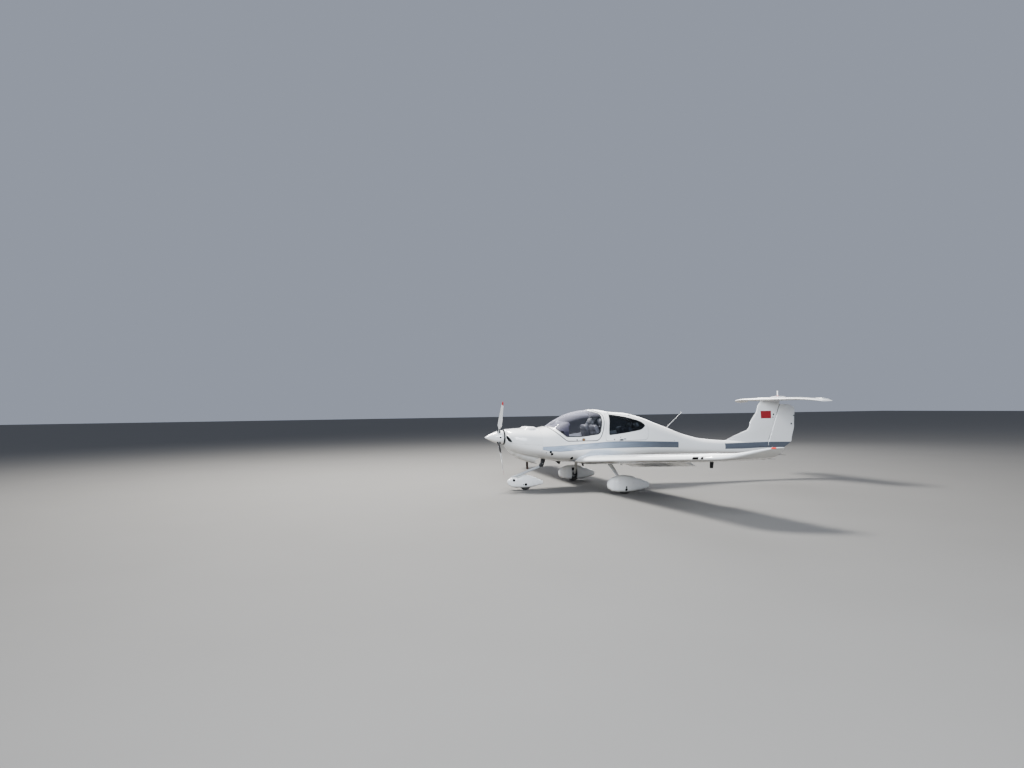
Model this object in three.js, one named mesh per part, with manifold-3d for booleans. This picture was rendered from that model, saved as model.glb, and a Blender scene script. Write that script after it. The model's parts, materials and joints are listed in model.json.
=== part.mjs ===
// Four-seat low-wing light aircraft with a T-tail, parked on its nose-wheel undercarriage.
// Millimetres. Inside this file X runs aft from the spinner's tip, Y to starboard, Z up from the ground.
// The exported group moves the origin to the ground under the middle of the whole aircraft.
import * as THREE from "three";
import { mergeVertices } from "three/addons/utils/BufferGeometryUtils.js";
import Module from "manifold-3d";

const wasm = await Module();
wasm.setup();

// Overall sizes
const LENGTH = 7980;
const SEAT = 0.4; // gap between pieces that rest on each other
const GAP = 5; // running gap round the pieces that move
const FAR = 9000; // reach of a cutter that passes right through

// Fuselage: places along its length
const COWL_FRONT = 425;
const FIREWALL = 1165;
const CABIN_END = 4200;
const BOOM_END = 7300;
const SKIN = { cowl: 12, cabin: 35, boom: 14 };
const GLASS = { under: 1, thick: 7 }; // depth of the glass's outer and inner face below the hull's surface

// The hull's sections. Each is two half superellipses that meet at the waist.
const HULL_COLUMNS = ["aft", "top", "bottom", "half", "waist", "over", "under"];
const HULL = [
  [425, 1352, 1003, 196, 1176, 2.0, 2.0],
  [480, 1350, 925, 322, 1150, 2.2, 2.1],
  [600, 1360, 835, 402, 1112, 2.3, 2.2],
  [800, 1368, 765, 455, 1065, 2.4, 2.3],
  [1165, 1364, 698, 512, 1010, 2.4, 2.5],
  [1350, 1395, 655, 543, 992, 2.35, 2.7],
  [1440, 1412, 640, 556, 990, 2.3, 2.8],
  [1550, 1487, 624, 568, 990, 2.2, 2.8],
  [1700, 1572, 606, 580, 995, 2.1, 2.8],
  [1900, 1665, 598, 592, 1000, 2.05, 2.8],
  [2200, 1735, 594, 600, 1005, 2.0, 2.8],
  [2510, 1760, 592, 600, 1005, 2.0, 2.8],
  [2700, 1742, 593, 594, 1002, 2.0, 2.8],
  [2920, 1702, 599, 582, 1000, 2.0, 2.8],
  [3310, 1668, 613, 542, 1000, 2.0, 2.7],
  [3560, 1612, 625, 503, 995, 2.0, 2.6],
  [3820, 1530, 640, 452, 985, 2.0, 2.5],
  [4050, 1440, 645, 402, 970, 2.0, 2.4],
  [4380, 1318, 650, 335, 945, 2.0, 2.3],
  [4820, 1152, 652, 255, 900, 2.0, 2.2],
  [5370, 1022, 648, 190, 850, 2.0, 2.1],
  [6020, 968, 640, 145, 812, 2.0, 2.1],
  [6600, 955, 628, 110, 795, 2.0, 2.1],
  [7100, 945, 612, 72, 780, 2.0, 2.1],
  [7300, 940, 606, 50, 775, 2.0, 2.1],
];
const HULL_SIDES = 24;

// Outlines in side view, anticlockwise: aft, height, corner radius
const CANOPY_EDGE = [
  [1352, 1396, 0],
  [1560, 1194, 200],
  [1706, 1070, 40],
  [2450, 1066, 90],
  [2551, 1217, 120],
  [2644, 1478, 200],
  [2667, 1600, 60],
  [2640, 1672, 50],
  [2500, 1738, 60],
  [2400, 1800, 60],
  [2380, 1900, 0],
  [1352, 1900, 0],
];
const CANOPY_PANE = [
  [1402, 1401, 0],
  [1470, 1392, 20],
  [1574, 1284, 200],
  [1704, 1172, 30],
  [2073, 1166, 200],
  [2290, 1196, 150],
  [2480, 1216, 70],
  [2545, 1375, 150],
  [2592, 1524, 100],
  [2602, 1652, 60],
  [2484, 1698, 60],
  [2362, 1722, 40],
  [2335, 1900, 0],
  [1402, 1900, 0],
];
const DOOR_EDGE = [
  [2606, 1062, 60],
  [2950, 1055, 200],
  [3680, 1060, 70],
  [3745, 1200, 100],
  [3770, 1400, 90],
  [3640, 1900, 0],
  [2780, 1900, 0],
  [2740, 1720, 60],
  [2622, 1250, 200],
];
const DOOR_PANE = [
  [2706, 1190, 45],
  [3100, 1228, 200],
  [3560, 1294, 80],
  [3700, 1385, 60],
  [3600, 1478, 90],
  [3240, 1580, 200],
  [2990, 1622, 150],
  [2818, 1640, 20],
  [2722, 1330, 150],
];
const DOOR_HINGE = { front: [2640, -205, 1712], rear: [3600, -205, 1591], radius: 9 };
const CANOPY_HINGE = { aft: 1348, height: 1405, radius: 8, middle: 70, half: 22 };

// Wing: sections of one side. The two sides meet under the belly.
const WING_COLUMNS = ["out", "lead", "trail", "rise", "drop", "thick"];
const WING = [
  [0.2, 1975, 3235, 650, 60, 0.16],
  [420, 1975, 3235, 642, 60, 0.16],
  [620, 1985, 3234, 648, 58, 0.155],
  [5280, 2160, 3205, 990, 46, 0.135],
  [5480, 2210, 3208, 1004, 44, 0.125],
  [5680, 2345, 3215, 1026, 24, 0.115],
  [5830, 2600, 3222, 1085, 15, 0.105],
  [5925, 2880, 3222, 1143, 7, 0.095],
  [5970, 3070, 3205, 1168, 0, 0.09],
];
const CAMBER = { height: 0.022, place: 0.4 };
const FOIL_STEPS = 8;
const FLAP = { from: 700, to: 3380, share: 0.745, rest: 22, brackets: [1150, 2050, 2950] };
const JACK_PAD = { aft: 2440, out: 1750, radius: 24, below: 115 };
const AILERON = { from: 3420, to: 5190, share: 0.815, rest: 0, brackets: [3800, 4750] };

// Tail
const HINGE_FOOT = { aft: 7240, height: 960 };
const HINGE_HEAD = { aft: 7556, height: 1820 };
const FIN_COLUMNS = ["height", "lead", "half"];
const FIN = [
  [860, 5800, 20],
  [980, 6020, 22],
  [1060, 6200, 28],
  [1140, 6410, 34],
  [1215, 6605, 42],
  [1330, 6680, 45],
  [1740, 6900, 40],
  [1960, 7010, 40],
];
const RUDDER_COLUMNS = ["height", "trail", "half"];
const RUDDER = [
  [604, 7440, 34],
  [730, 7620, 38],
  [940, 7874, 42],
  [1310, 7955, 40],
  [1745, 7980, 33],
  [1830, 7815, 30],
];
const TAILPLANE_COLUMNS = ["out", "lead", "rise", "thick"];
const TAILPLANE = [
  [0, 6880, 1952, 0.105],
  [150, 6915, 1952, 0.1],
  [1000, 7130, 1955, 0.1],
  [1480, 7262, 1930, 0.1],
  [1600, 7350, 1908, 0.09],
  [1645, 7440, 1893, 0.08],
];
const TAILPLANE_TRAIL = { middle: 7775, tip: 7745 };
const ELEVATOR = { hinge: 7548, from: 75, to: 1560, radius: 21, tube: 15 };

// Undercarriage
const MAIN = { aft: 2615, out: 1485, radius: 180, half: 72, rim: 78, bore: 17, room: 80 };
const NOSE = { aft: 915, out: 0, radius: 150, half: 54, rim: 62, bore: 15, room: 62 };
const WHEEL_GAP = 8;
const PANT_COLUMNS = ["aft", "top", "bottom", "half"];
const MAIN_PANT = [
  [2238, 226, 176, 24],
  [2267, 278, 110, 66],
  [2342, 342, 62, 102],
  [2462, 380, 42, 126],
  [2612, 392, 38, 132],
  [2762, 372, 42, 126],
  [2942, 312, 66, 98],
  [3092, 257, 96, 70],
  [3170, 222, 120, 47],
];
const NOSE_PANT = [
  [500, 205, 165, 18],
  [530, 250, 112, 56],
  [600, 290, 68, 88],
  [720, 312, 54, 108],
  [820, 326, 50, 117],
  [920, 330, 50, 119],
  [1020, 312, 54, 113],
  [1140, 265, 76, 92],
  [1240, 224, 98, 64],
  [1315, 190, 112, 40],
];
const PANT_POWER = { above: 2.8, below: 3.4 };
const CASTER = { aft: 620, seat: 252, radius: 34, top: 310 };

// Main leg: one bar that tapers from the wing to the axle, with a half length along X and a half thickness
const LEG_COLUMNS = ["out", "aft", "rise", "long", "high"];
const LEG = [
  [880, 2492, 700, 54, 39],
  [1000, 2515, 585, 48, 35],
  [1180, 2580, 395, 38, 30],
  [1290, 2602, 275, 31, 26],
  [1365.6, 2615, 196, 27, 26],
];
const AXLE = { flange: [1366, 1380, 46], arm: [1367, 1379], caliper: [1370, 1404] };

// Nose leg: a tube from the caster's socket to a mount under the firewall
const NOSE_LEG = {
  foot: [632, 283],
  bend: [1150, 472],
  head: [1300, 515],
  radius: { foot: 31, bend: 27, head: 25 },
  mount: { from: 1272, to: 1352, half: 48, bottom: 507, top: 720 },
};
const FORK = { from: 602, to: 660, half: 66, thick: 30, arm: 8 };

// Power plant
const SHAFT_HEIGHT = 1176;
const SPINNER = { length: 402, radius: 151, back: 394, tip: 360 };
const PROPELLER = { aft: 300, blades: 3, hub: 72 };
const BLADE_COLUMNS = ["out", "chord", "thick", "pitch"];
const BLADE = [
  [60, 88, 60, 60],
  [190, 96, 48, 50],
  [310, 104, 34, 40],
  [440, 108, 24, 31],
  [570, 98, 18, 25],
  [700, 84, 13, 22],
  [800, 70, 10, 20],
  [870, 50, 7, 18],
  [900, 24, 5, 17],
];
const SHAFT_HOLE = 82;
const INLET = { out: 275, height: 1145, long: 101, short: 48, slope: -0.72, from: 375, to: 675 };
const BUMP = { aft: 990, out: 170, height: 1340, size: [134, 105, 62] };
const ENGINE = { from: 600, to: 1060, half: 330, bottom: 850, top: 1260, mount: 190, shaft: 60 };
const EXHAUST = { aft: 1000, out: 130, foot: 445, radius: 26, hole: 36 };
const SPLIT_LINE = [
  [400, 1060],
  [1200, 985],
];
const CHIN_COLUMNS = ["aft", "bottom", "half"];
const CHIN = [
  [480, 934, 70],
  [530, 856, 140],
  [620, 774, 190],
  [740, 702, 218],
  [860, 645, 228],
  [960, 611, 228],
  [1110, 572, 214],
  [FIREWALL - SEAT, 562, 206],
];
const CHIN_RISE = 70; // the chin's middle above the hull's lowest line
const OUTLET = { half: 190, bottom: 585, top: 800 };

// Materials: colour, roughness, metalness
const PAINTS = {
  white_gelcoat: [0xf2f3f1, 0.25, 0],
  tinted_glass: [0x2c3438, 0.05, 0],
  cabin_trim: [0x2b2d33, 0.8, 0],
  seat_leather: [0x4a4c52, 0.7, 0],
  tyre_rubber: [0x161616, 0.9, 0],
  rim_alloy: [0xc9cbcc, 0.35, 0.8],
  gear_steel: [0x1b1c1e, 0.5, 0.4],
  grey_paint: [0xb9bdc0, 0.4, 0.1],
  engine_metal: [0x6d6f70, 0.6, 0.7],
  exhaust_steel: [0x2a2422, 0.7, 0.6],
};

// Tables and smooth curves
const named = (columns, rows) =>
  rows.map((row) => Object.fromEntries(columns.map((column, i) => [column, row[i]])));

// A curve through a table's rows that never overshoots between them.
function curveThrough(columns, rows) {
  const xs = rows.map((row) => row[0]);
  const slopes = columns.map((_, c) => {
    const steps = rows.slice(1).map((row, i) => (row[c] - rows[i][c]) / (xs[i + 1] - xs[i]));
    return rows.map((_, i) => {
      if (i === 0) return steps[0];
      if (i === rows.length - 1) return steps[i - 1];
      const [before, after] = [steps[i - 1], steps[i]];
      return before * after > 0 ? (2 * before * after) / (before + after) : 0;
    });
  });
  return (x) => {
    let i = xs.findIndex((next) => next > x) - 1;
    if (i < 0) i = x <= xs[0] ? 0 : xs.length - 2;
    const span = xs[i + 1] - xs[i];
    const t = Math.min(1, Math.max(0, (x - xs[i]) / span));
    const values = columns.map((column, c) => [
      column,
      rows[i][c] * (1 + 2 * t) * (1 - t) ** 2 +
        slopes[c][i] * span * t * (1 - t) ** 2 +
        rows[i + 1][c] * t * t * (3 - 2 * t) +
        slopes[c][i + 1] * span * t * t * (t - 1),
    ]);
    return Object.fromEntries(values);
  };
}

const between = (low, high, steps) =>
  Array.from({ length: steps + 1 }, (_, i) => low + ((high - low) * i) / steps);
const blend = (a, b, t) => a + (b - a) * t;

// Solids
function solidOf(geometry) {
  const bare = geometry.clone();
  bare.deleteAttribute("normal");
  bare.deleteAttribute("uv");
  const welded = mergeVertices(bare, 1e-3);
  const mesh = { numProp: 3, vertProperties: welded.attributes.position.array };
  const corners = new Uint32Array(welded.index.array);
  const made = new wasm.Manifold(new wasm.Mesh({ ...mesh, triVerts: corners }));
  if (made.volume() > 0) return made;
  return new wasm.Manifold(new wasm.Mesh({ ...mesh, triVerts: corners.reverse() }));
}

function geometryOf(solid) {
  const { numProp, vertProperties, triVerts } = solid.getMesh();
  const geometry = new THREE.BufferGeometry();
  const count = vertProperties.length / numProp;
  const flat = new Float32Array(count * 3);
  for (let i = 0; i < count; i++) flat.set(vertProperties.subarray(i * numProp, i * numProp + 3), i * 3);
  geometry.setAttribute("position", new THREE.BufferAttribute(flat, 3));
  geometry.setIndex(new THREE.BufferAttribute(triVerts, 1));
  return geometry;
}

const moved = (solid, x, y, z) => solidOf(geometryOf(solid).translate(x, y, z));
const joined = (...solids) => solids.reduce((all, one) => all.add(one));
const without = (solid, ...cutters) => cutters.reduce((left, cutter) => left.subtract(cutter), solid);

// A solid through rings of points, with flat ends.
function loft(rings) {
  const sides = rings[0].length;
  const points = rings.flat();
  const faces = [];
  for (let i = 0; i + 1 < rings.length; i++)
    for (let j = 0; j < sides; j++) {
      const a = i * sides + j;
      const b = i * sides + ((j + 1) % sides);
      faces.push(a, b, b + sides, a, b + sides, a + sides);
    }
  const last = (rings.length - 1) * sides;
  for (const [start, turned] of [[0, true], [last, false]]) {
    const ring = points.slice(start, start + sides);
    const middle = points.length;
    points.push([0, 1, 2].map((axis) => ring.reduce((sum, p) => sum + p[axis], 0) / sides));
    for (let j = 0; j < sides; j++) {
      const a = start + j;
      const b = start + ((j + 1) % sides);
      faces.push(...(turned ? [b, a, middle] : [a, b, middle]));
    }
  }
  const geometry = new THREE.BufferGeometry();
  geometry.setAttribute("position", new THREE.Float32BufferAttribute(points.flat(), 3));
  geometry.setIndex(faces);
  return solidOf(geometry);
}

const box = (x0, x1, y0, y1, z0, z1) =>
  solidOf(
    new THREE.BoxGeometry(x1 - x0, y1 - y0, z1 - z0).translate((x0 + x1) / 2, (y0 + y1) / 2, (z0 + z1) / 2),
  );

// A round bar from one point to another.
function rod(from, to, radius, endRadius = radius, sides = 14) {
  const start = new THREE.Vector3(...from);
  const along = new THREE.Vector3(...to).sub(start);
  const length = along.length();
  const turn = new THREE.Quaternion().setFromUnitVectors(new THREE.Vector3(0, 1, 0), along.normalize());
  const geometry = new THREE.CylinderGeometry(endRadius, radius, length, sides)
    .translate(0, length / 2, 0)
    .applyQuaternion(turn)
    .translate(...from);
  return solidOf(geometry);
}

// A shape whose corners are rounded: a, b, corner radius. No corner takes more than half of an edge.
function roundedShape(corners) {
  const shape = new THREE.Shape();
  corners.forEach(([a, b, radius], i) => {
    const here = new THREE.Vector2(a, b);
    const [before, after] = [-1, 1].map((step) => {
      const near = corners[(i + step + corners.length) % corners.length];
      const away = new THREE.Vector2(near[0], near[1]).sub(here);
      const share = Math.min(radius, away.length() * 0.49);
      return here.clone().addScaledVector(away.normalize(), share);
    });
    if (i === 0) shape.moveTo(before.x, before.y);
    else shape.lineTo(before.x, before.y);
    if (radius) shape.quadraticCurveTo(a, b, after.x, after.y);
  });
  shape.closePath();
  return shape;
}

// The same outline, its edges moved out by a distance.
function grown(corners, out) {
  return corners.map(([a, b, radius], i) => {
    const ahead = corners[(i + 1) % corners.length];
    const behind = corners[(i - 1 + corners.length) % corners.length];
    const [inward, outward] = [
      [a - behind[0], b - behind[1]],
      [ahead[0] - a, ahead[1] - b],
    ].map(([da, db]) => new THREE.Vector2(db, -da).normalize());
    const shift = inward.clone().add(outward).multiplyScalar(out / (1 + inward.dot(outward)));
    return [a + shift.x, b + shift.y, radius];
  });
}

// An outline in side view, carried across from one side to the other.
const sideSlab = (corners, y0, y1) =>
  solidOf(
    new THREE.ExtrudeGeometry(roundedShape(corners), { depth: y1 - y0, bevelEnabled: false, curveSegments: 4 })
      .rotateX(Math.PI / 2)
      .translate(0, y1, 0),
  );

// An outline in plan, carried up.
const planSlab = (corners, z0, z1) =>
  solidOf(
    new THREE.ExtrudeGeometry(roundedShape(corners), { depth: z1 - z0, bevelEnabled: false, curveSegments: 4 })
      .translate(0, 0, z0),
  );

const mirrored = (corners) => corners.map(([x, y, radius]) => [x, -y, radius]).reverse();

// Hull
const hullAt = curveThrough(HULL_COLUMNS, HULL);

function hullRing(aft, inset) {
  const { top, bottom, half, waist, over, under } = hullAt(aft);
  return between(0, 2 * Math.PI, HULL_SIDES).slice(0, -1).map((angle) => {
    const [c, s] = [Math.cos(angle), Math.sin(angle)];
    const power = 2 / (s >= 0 ? over : under);
    const reach = s >= 0 ? top - inset - waist : waist - bottom - inset;
    return [
      aft,
      (half - inset) * Math.sign(c) * Math.abs(c) ** power,
      waist + reach * Math.sign(s) * Math.abs(s) ** power,
    ];
  });
}

function hull(from, to, inset = 0) {
  const places = HULL.map((row) => row[0]).filter((aft) => aft > from + 30 && aft < to - 30);
  return loft([from, ...places, to].map((aft) => hullRing(aft, inset)));
}

// Foil section: points from the upper trailing edge round the nose to the lower trailing edge, in shares of the chord
function foil(thick, camber) {
  const station = (i) => (1 - Math.cos((Math.PI * i) / FOIL_STEPS)) / 2;
  const half = (x) =>
    5 * thick * (0.2969 * Math.sqrt(x) - 0.126 * x - 0.3516 * x ** 2 + 0.2843 * x ** 3 - 0.1036 * x ** 4);
  const line = (x) => {
    const { height, place } = camber;
    const side = x < place ? place : 1 - place;
    return (height * (2 * place * x - x * x + (x < place ? 0 : 1 - 2 * place))) / side ** 2;
  };
  const blunt = 0.0016;
  const upper = between(FOIL_STEPS, 1, FOIL_STEPS - 1).map(station).map((x) => [x, line(x) + half(x) + blunt]);
  const lower = between(1, FOIL_STEPS, FOIL_STEPS - 1).map(station).map((x) => [x, line(x) - half(x) - blunt]);
  return [...upper, [0, 0], ...lower];
}

// The wing is straight between its sections.
function wingAt(out) {
  const i = Math.max(0, WING.findLastIndex((row, at) => row[0] <= out && at < WING.length - 1));
  const t = (out - WING[i][0]) / (WING[i + 1][0] - WING[i][0]);
  return Object.fromEntries(WING_COLUMNS.map((column, c) => [column, blend(WING[i][c], WING[i + 1][c], t)]));
}
const wingMiddle = (out, share) => {
  const { lead, trail, rise, drop } = wingAt(out);
  const { height, place } = CAMBER;
  const camber = (height * (1 - 2 * place + 2 * place * share - share ** 2)) / (1 - place) ** 2;
  return [blend(lead, trail, share), out, rise - drop * share + camber * (trail - lead)];
};

function wingLoft(side) {
  return loft(
    WING.map(([out, lead, trail, rise, drop, thick]) =>
      foil(thick, CAMBER).map(([along, up]) => [
        blend(lead, trail, along),
        side * out,
        rise - drop * along + up * (trail - lead),
      ]),
    ),
  );
}

// A control surface: a round nose on the hinge line that tapers to a thin trailing edge.
// Each section holds its hinge point, its nose radius and its trailing edge.
const NOSE_ARC = 8;
const EDGE = 2;
function surfaceRing({ hinge, radius, trail }, across) {
  const flat = new THREE.Vector3(...trail).sub(new THREE.Vector3(...hinge));
  const out = new THREE.Vector3(...across);
  flat.addScaledVector(out, -flat.dot(out));
  const forward = flat.clone().normalize().negate();
  const up = new THREE.Vector3().crossVectors(forward, out).normalize();
  const nose = between(-Math.PI / 2, Math.PI / 2, NOSE_ARC).map((angle) =>
    new THREE.Vector3(...hinge)
      .addScaledVector(forward, radius * Math.cos(angle))
      .addScaledVector(up, radius * Math.sin(angle)),
  );
  const tail = [EDGE, -EDGE].map((high) => new THREE.Vector3(...trail).addScaledVector(up, high));
  return [...nose, ...tail].map((p) => p.toArray());
}

// Turned about a line by an angle in degrees.
function turned(solid, from, to, degrees) {
  const axis = new THREE.Vector3(...to).sub(new THREE.Vector3(...from)).normalize();
  const turn = new THREE.Matrix4().makeRotationAxis(axis, THREE.MathUtils.degToRad(degrees));
  const geometry = geometryOf(solid)
    .translate(...from.map((v) => -v))
    .applyMatrix4(turn)
    .translate(...from);
  return solidOf(geometry);
}

// A hinge bracket: a flat lug that reaches forward from the hinge line, and the slot that it needs
const LUG = { half: 3, radius: 9, room: 6 };
function lugFrame(at, across, forward) {
  const centre = new THREE.Vector3(...at);
  const out = new THREE.Vector3(...across).normalize();
  const ahead = new THREE.Vector3(...forward);
  ahead.addScaledVector(out, -ahead.dot(out)).normalize();
  const side = new THREE.Vector3().crossVectors(ahead, out);
  return (along, wide, high) =>
    centre.clone().addScaledVector(ahead, along).addScaledVector(out, wide).addScaledVector(side, high).toArray();
}

function slab(place, from, to, half, high) {
  const ring = (along) => [[1, 1], [1, -1], [-1, -1], [-1, 1]].map(([a, b]) => place(along, a * half, b * high));
  return loft([ring(from), ring(to)]);
}

function lug(at, across, forward, reach) {
  const place = lugFrame(at, across, forward);
  const round = rod(place(0, -LUG.half, 0), place(0, LUG.half, 0), LUG.radius, LUG.radius, 12);
  return joined(round, slab(place, 0, reach, LUG.half, LUG.radius));
}

const lugSlot = (at, across, forward) =>
  slab(lugFrame(at, across, forward), -LUG.radius - LUG.room, 200, LUG.half + SEAT, 200);

// One side's flap or aileron, with the cut that it needs in the wing and its brackets
function wingSurface(side, { from, to, share, rest, brackets }) {
  const places = [from, to];
  const sections = places.map((out) => {
    const { lead, trail, thick } = wingAt(out);
    const hinge = wingMiddle(out, share);
    const back = wingMiddle(out, 1);
    const x = share;
    const radius =
      5 * thick * (0.2969 * Math.sqrt(x) - 0.126 * x - 0.3516 * x ** 2 + 0.2843 * x ** 3 - 0.1036 * x ** 4) *
      (trail - lead);
    return { hinge: [hinge[0], side * out, hinge[2]], radius, trail: [back[0], side * out, back[2]] };
  });
  const [inner, outer] = sections;
  const across = new THREE.Vector3(...outer.hinge).sub(new THREE.Vector3(...inner.hinge)).normalize().toArray();
  const skin = loft(sections.map((section) => surfaceRing(section, [0, side, 0])));
  const corners = [
    [inner.hinge[0] - inner.radius - 8, from - 8],
    [FAR, from - 8],
    [FAR, to + 8],
    [outer.hinge[0] - outer.radius - 8, to + 8],
  ].map(([x, y]) => [x, y, 0]);
  const cut = planSlab(side > 0 ? corners : mirrored(corners), 0, 2000);
  const lugs = brackets.map((out) => {
    const t = (out - from) / (to - from);
    const at = inner.hinge.map((v, i) => blend(v, outer.hinge[i], t));
    const radius = blend(inner.radius, outer.radius, t);
    const forward = [-1, 0, 0.05];
    return { bracket: lug(at, across, forward, radius + 24), slot: lugSlot(at, across, forward) };
  });
  const slottedSkin = without(skin, ...lugs.map(({ slot }) => slot));
  const surface = rest ? turned(slottedSkin, inner.hinge, outer.hinge, side * rest) : slottedSkin;
  return { surface, cut, brackets: lugs.map(({ bracket }) => bracket) };
}

function wing(side) {
  const surfaces = [FLAP, AILERON].map((surface) => wingSurface(side, surface));
  const fuselage = hull(COWL_FRONT, CABIN_END, -SEAT);
  let body = wingLoft(side);
  for (const { cut, brackets } of surfaces) body = joined(without(body, cut), ...brackets);
  const under = wingMiddle(JACK_PAD.out, 0.35)[2] - JACK_PAD.below;
  const at = (height) => [JACK_PAD.aft, side * JACK_PAD.out, height];
  const pad = rod(at(under), at(under + 80), JACK_PAD.radius);
  return {
    body: without(joined(body, pad), fuselage),
    flap: surfaces[0].surface,
    aileron: surfaces[1].surface,
  };
}

// Fuselage pieces
const [splitFront, splitBack] = SPLIT_LINE;
const splitSlope = (splitBack[1] - splitFront[1]) / (splitBack[0] - splitFront[0]);
const BELOW_SPLIT = [
  [0, 0, 0],
  [splitBack[0], 0, 0],
  [...splitBack, 0],
  [0, splitFront[1] - splitSlope * splitFront[0], 0],
];

const chin = (inset) =>
  loft(
    named(CHIN_COLUMNS, CHIN).map(({ aft, bottom, half }) => {
      const middle = hullAt(aft).bottom + CHIN_RISE;
      return between(0, 2 * Math.PI, 20).slice(0, -1).map((angle) => [
        aft,
        (half - inset) * Math.cos(angle),
        middle + (middle - bottom - inset) * Math.sin(angle),
      ]);
    }),
  );

// An oval hole that runs aft, its long axis sloping down and out.
function inletHole(side) {
  const { out, height, long, short, slope, from, to } = INLET;
  return solidOf(
    new THREE.CylinderGeometry(1, 1, to - from, 20)
      .rotateZ(Math.PI / 2)
      .scale(1, long, short)
      .rotateX(side * slope)
      .translate((from + to) / 2, side * out, height),
  );
}

function cowls() {
  const outside = joined(hull(COWL_FRONT, FIREWALL - SEAT), chin(0));
  const openBack = box(FIREWALL - 60, FIREWALL + 60, -OUTLET.half, OUTLET.half, OUTLET.bottom, OUTLET.top);
  const inside = joined(hull(COWL_FRONT + SKIN.cowl, FIREWALL + 40, SKIN.cowl), chin(SKIN.cowl), openBack);
  const shaftHole = rod([300, 0, SHAFT_HEIGHT], [500, 0, SHAFT_HEIGHT], SHAFT_HOLE, SHAFT_HOLE, 20);
  const bumps = [-1, 1].map((side) =>
    solidOf(new THREE.SphereGeometry(1, 14, 10).scale(...BUMP.size).translate(BUMP.aft, side * BUMP.out, BUMP.height)),
  );
  const exhaustHole = rod([EXHAUST.aft, EXHAUST.out, 400], [EXHAUST.aft, EXHAUST.out, 900], EXHAUST.hole);
  const shell = without(joined(outside, ...bumps), inside, shaftHole, inletHole(-1), inletHole(1), exhaustHole);
  return {
    upper: shell.subtract(sideSlab(grown(BELOW_SPLIT, SEAT), -1000, 1000)),
    lower: shell.intersect(sideSlab(BELOW_SPLIT, -1000, 1000)),
  };
}

function engineBlock() {
  const { from, to, half, bottom, top, mount, shaft } = ENGINE;
  const room = hull(COWL_FRONT + 40, FIREWALL - SEAT, 45);
  const block = room.intersect(box(from, to, -half, half, bottom, top));
  const frame = room.intersect(box(to - 20, FIREWALL - SEAT, -mount, mount, bottom + 80, top - 80));
  const stub = rod([SPINNER.length + SEAT, 0, SHAFT_HEIGHT], [from + 20, 0, SHAFT_HEIGHT], shaft, shaft, 18);
  return joined(block, frame, stub);
}

const exhaustPipe = () =>
  rod([EXHAUST.aft, EXHAUST.out, EXHAUST.foot], [EXHAUST.aft, EXHAUST.out, ENGINE.bottom - SEAT], EXHAUST.radius);

function cabinShell() {
  const outer = hull(FIREWALL, CABIN_END);
  const inner = hull(FIREWALL + SKIN.cabin, CABIN_END - SKIN.cabin, SKIN.cabin);
  const canopyHole = sideSlab(grown(CANOPY_EDGE, GAP / 2), -1000, 1000);
  const doorHole = sideSlab(grown(DOOR_EDGE, GAP / 2), -1000, DOOR_HINGE.front[1] + GAP / 2);
  const windowHole = sideSlab(DOOR_PANE, 0, 1000);
  const hinges = [-1, 1].flatMap((side) =>
    [-1, 1].map((end) => {
      const { aft, height, radius, middle, half } = CANOPY_HINGE;
      const near = side * middle + end * (half + SEAT);
      const far = side * middle + end * (half + 22);
      const drop = joined(
        rod([aft, near, height], [aft, far, height], radius),
        box(aft - radius, aft + radius, Math.min(near, far), Math.max(near, far), height - 30, height),
      );
      return drop;
    }),
  );
  return without(joined(without(outer, inner, canopyHole, doorHole, windowHole), ...hinges, ...doorLugs(1)));
}

// Hinge line of the rear door, cut in knuckles that belong to the roof or to the door
function hingePoint(t) {
  const { front, rear } = DOOR_HINGE;
  return front.map((v, i) => blend(v, rear[i], t));
}
const DOOR_KNUCKLES = [0.2, 0.75];
const KNUCKLE = 0.03;
function doorLugs(onRoof) {
  const { radius } = DOOR_HINGE;
  const towards = onRoof ? 1 : -1;
  return DOOR_KNUCKLES.map((t) => {
    const gap = SEAT / 1000;
    const [a, b] = onRoof ? [t - KNUCKLE, t - gap / 2] : [t + gap / 2, t + KNUCKLE];
    const [from, to] = [hingePoint(a), hingePoint(b)];
    const barrel = rod(from, to, radius);
    const [leaf, lean] = onRoof ? [6, 0.126] : [-12, 0.126];
    const ring = (p) =>
      [
        [0, radius * 0.6],
        [towards * 30, leaf],
        [towards * 30, leaf - 28],
        [0, -radius * 0.6],
      ].map(([dy, dz]) => [p[0] + lean * dz, p[1] + dy, p[2] + dz]);
    return joined(barrel, loft([ring(from), ring(to)]));
  });
}

function canopyFrame() {
  const shell = without(hull(1300, 2700), hull(1290, 2710, SKIN.cabin));
  const { aft, height, radius, middle, half } = CANOPY_HINGE;
  const edge = sideSlab(grown(CANOPY_EDGE, -GAP / 2), -1000, 1000);
  const hole = sideSlab(CANOPY_PANE, -1000, 1000);
  const knuckles = [-1, 1].map((side) =>
    joined(
      rod([aft, side * middle - half, height], [aft, side * middle + half, height], radius),
      box(aft, aft + 40, side * middle - half, side * middle + half, height - 8, height),
    ),
  );
  return joined(shell.intersect(edge).subtract(hole), ...knuckles);
}

function pane(outline, y0, y1, from, to) {
  const skin = without(hull(from, to, GLASS.under), hull(from - 10, to + 10, GLASS.thick));
  return skin.intersect(sideSlab(grown(outline, -SEAT), y0, y1));
}

function rearDoor() {
  const shell = without(hull(2500, 3800), hull(2490, 3810, SKIN.cabin));
  const edge = sideSlab(grown(DOOR_EDGE, -GAP / 2), -1000, DOOR_HINGE.front[1] - GAP / 2);
  const hole = sideSlab(DOOR_PANE, -1000, 0);
  return joined(shell.intersect(edge).subtract(hole), ...doorLugs(0));
}

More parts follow.
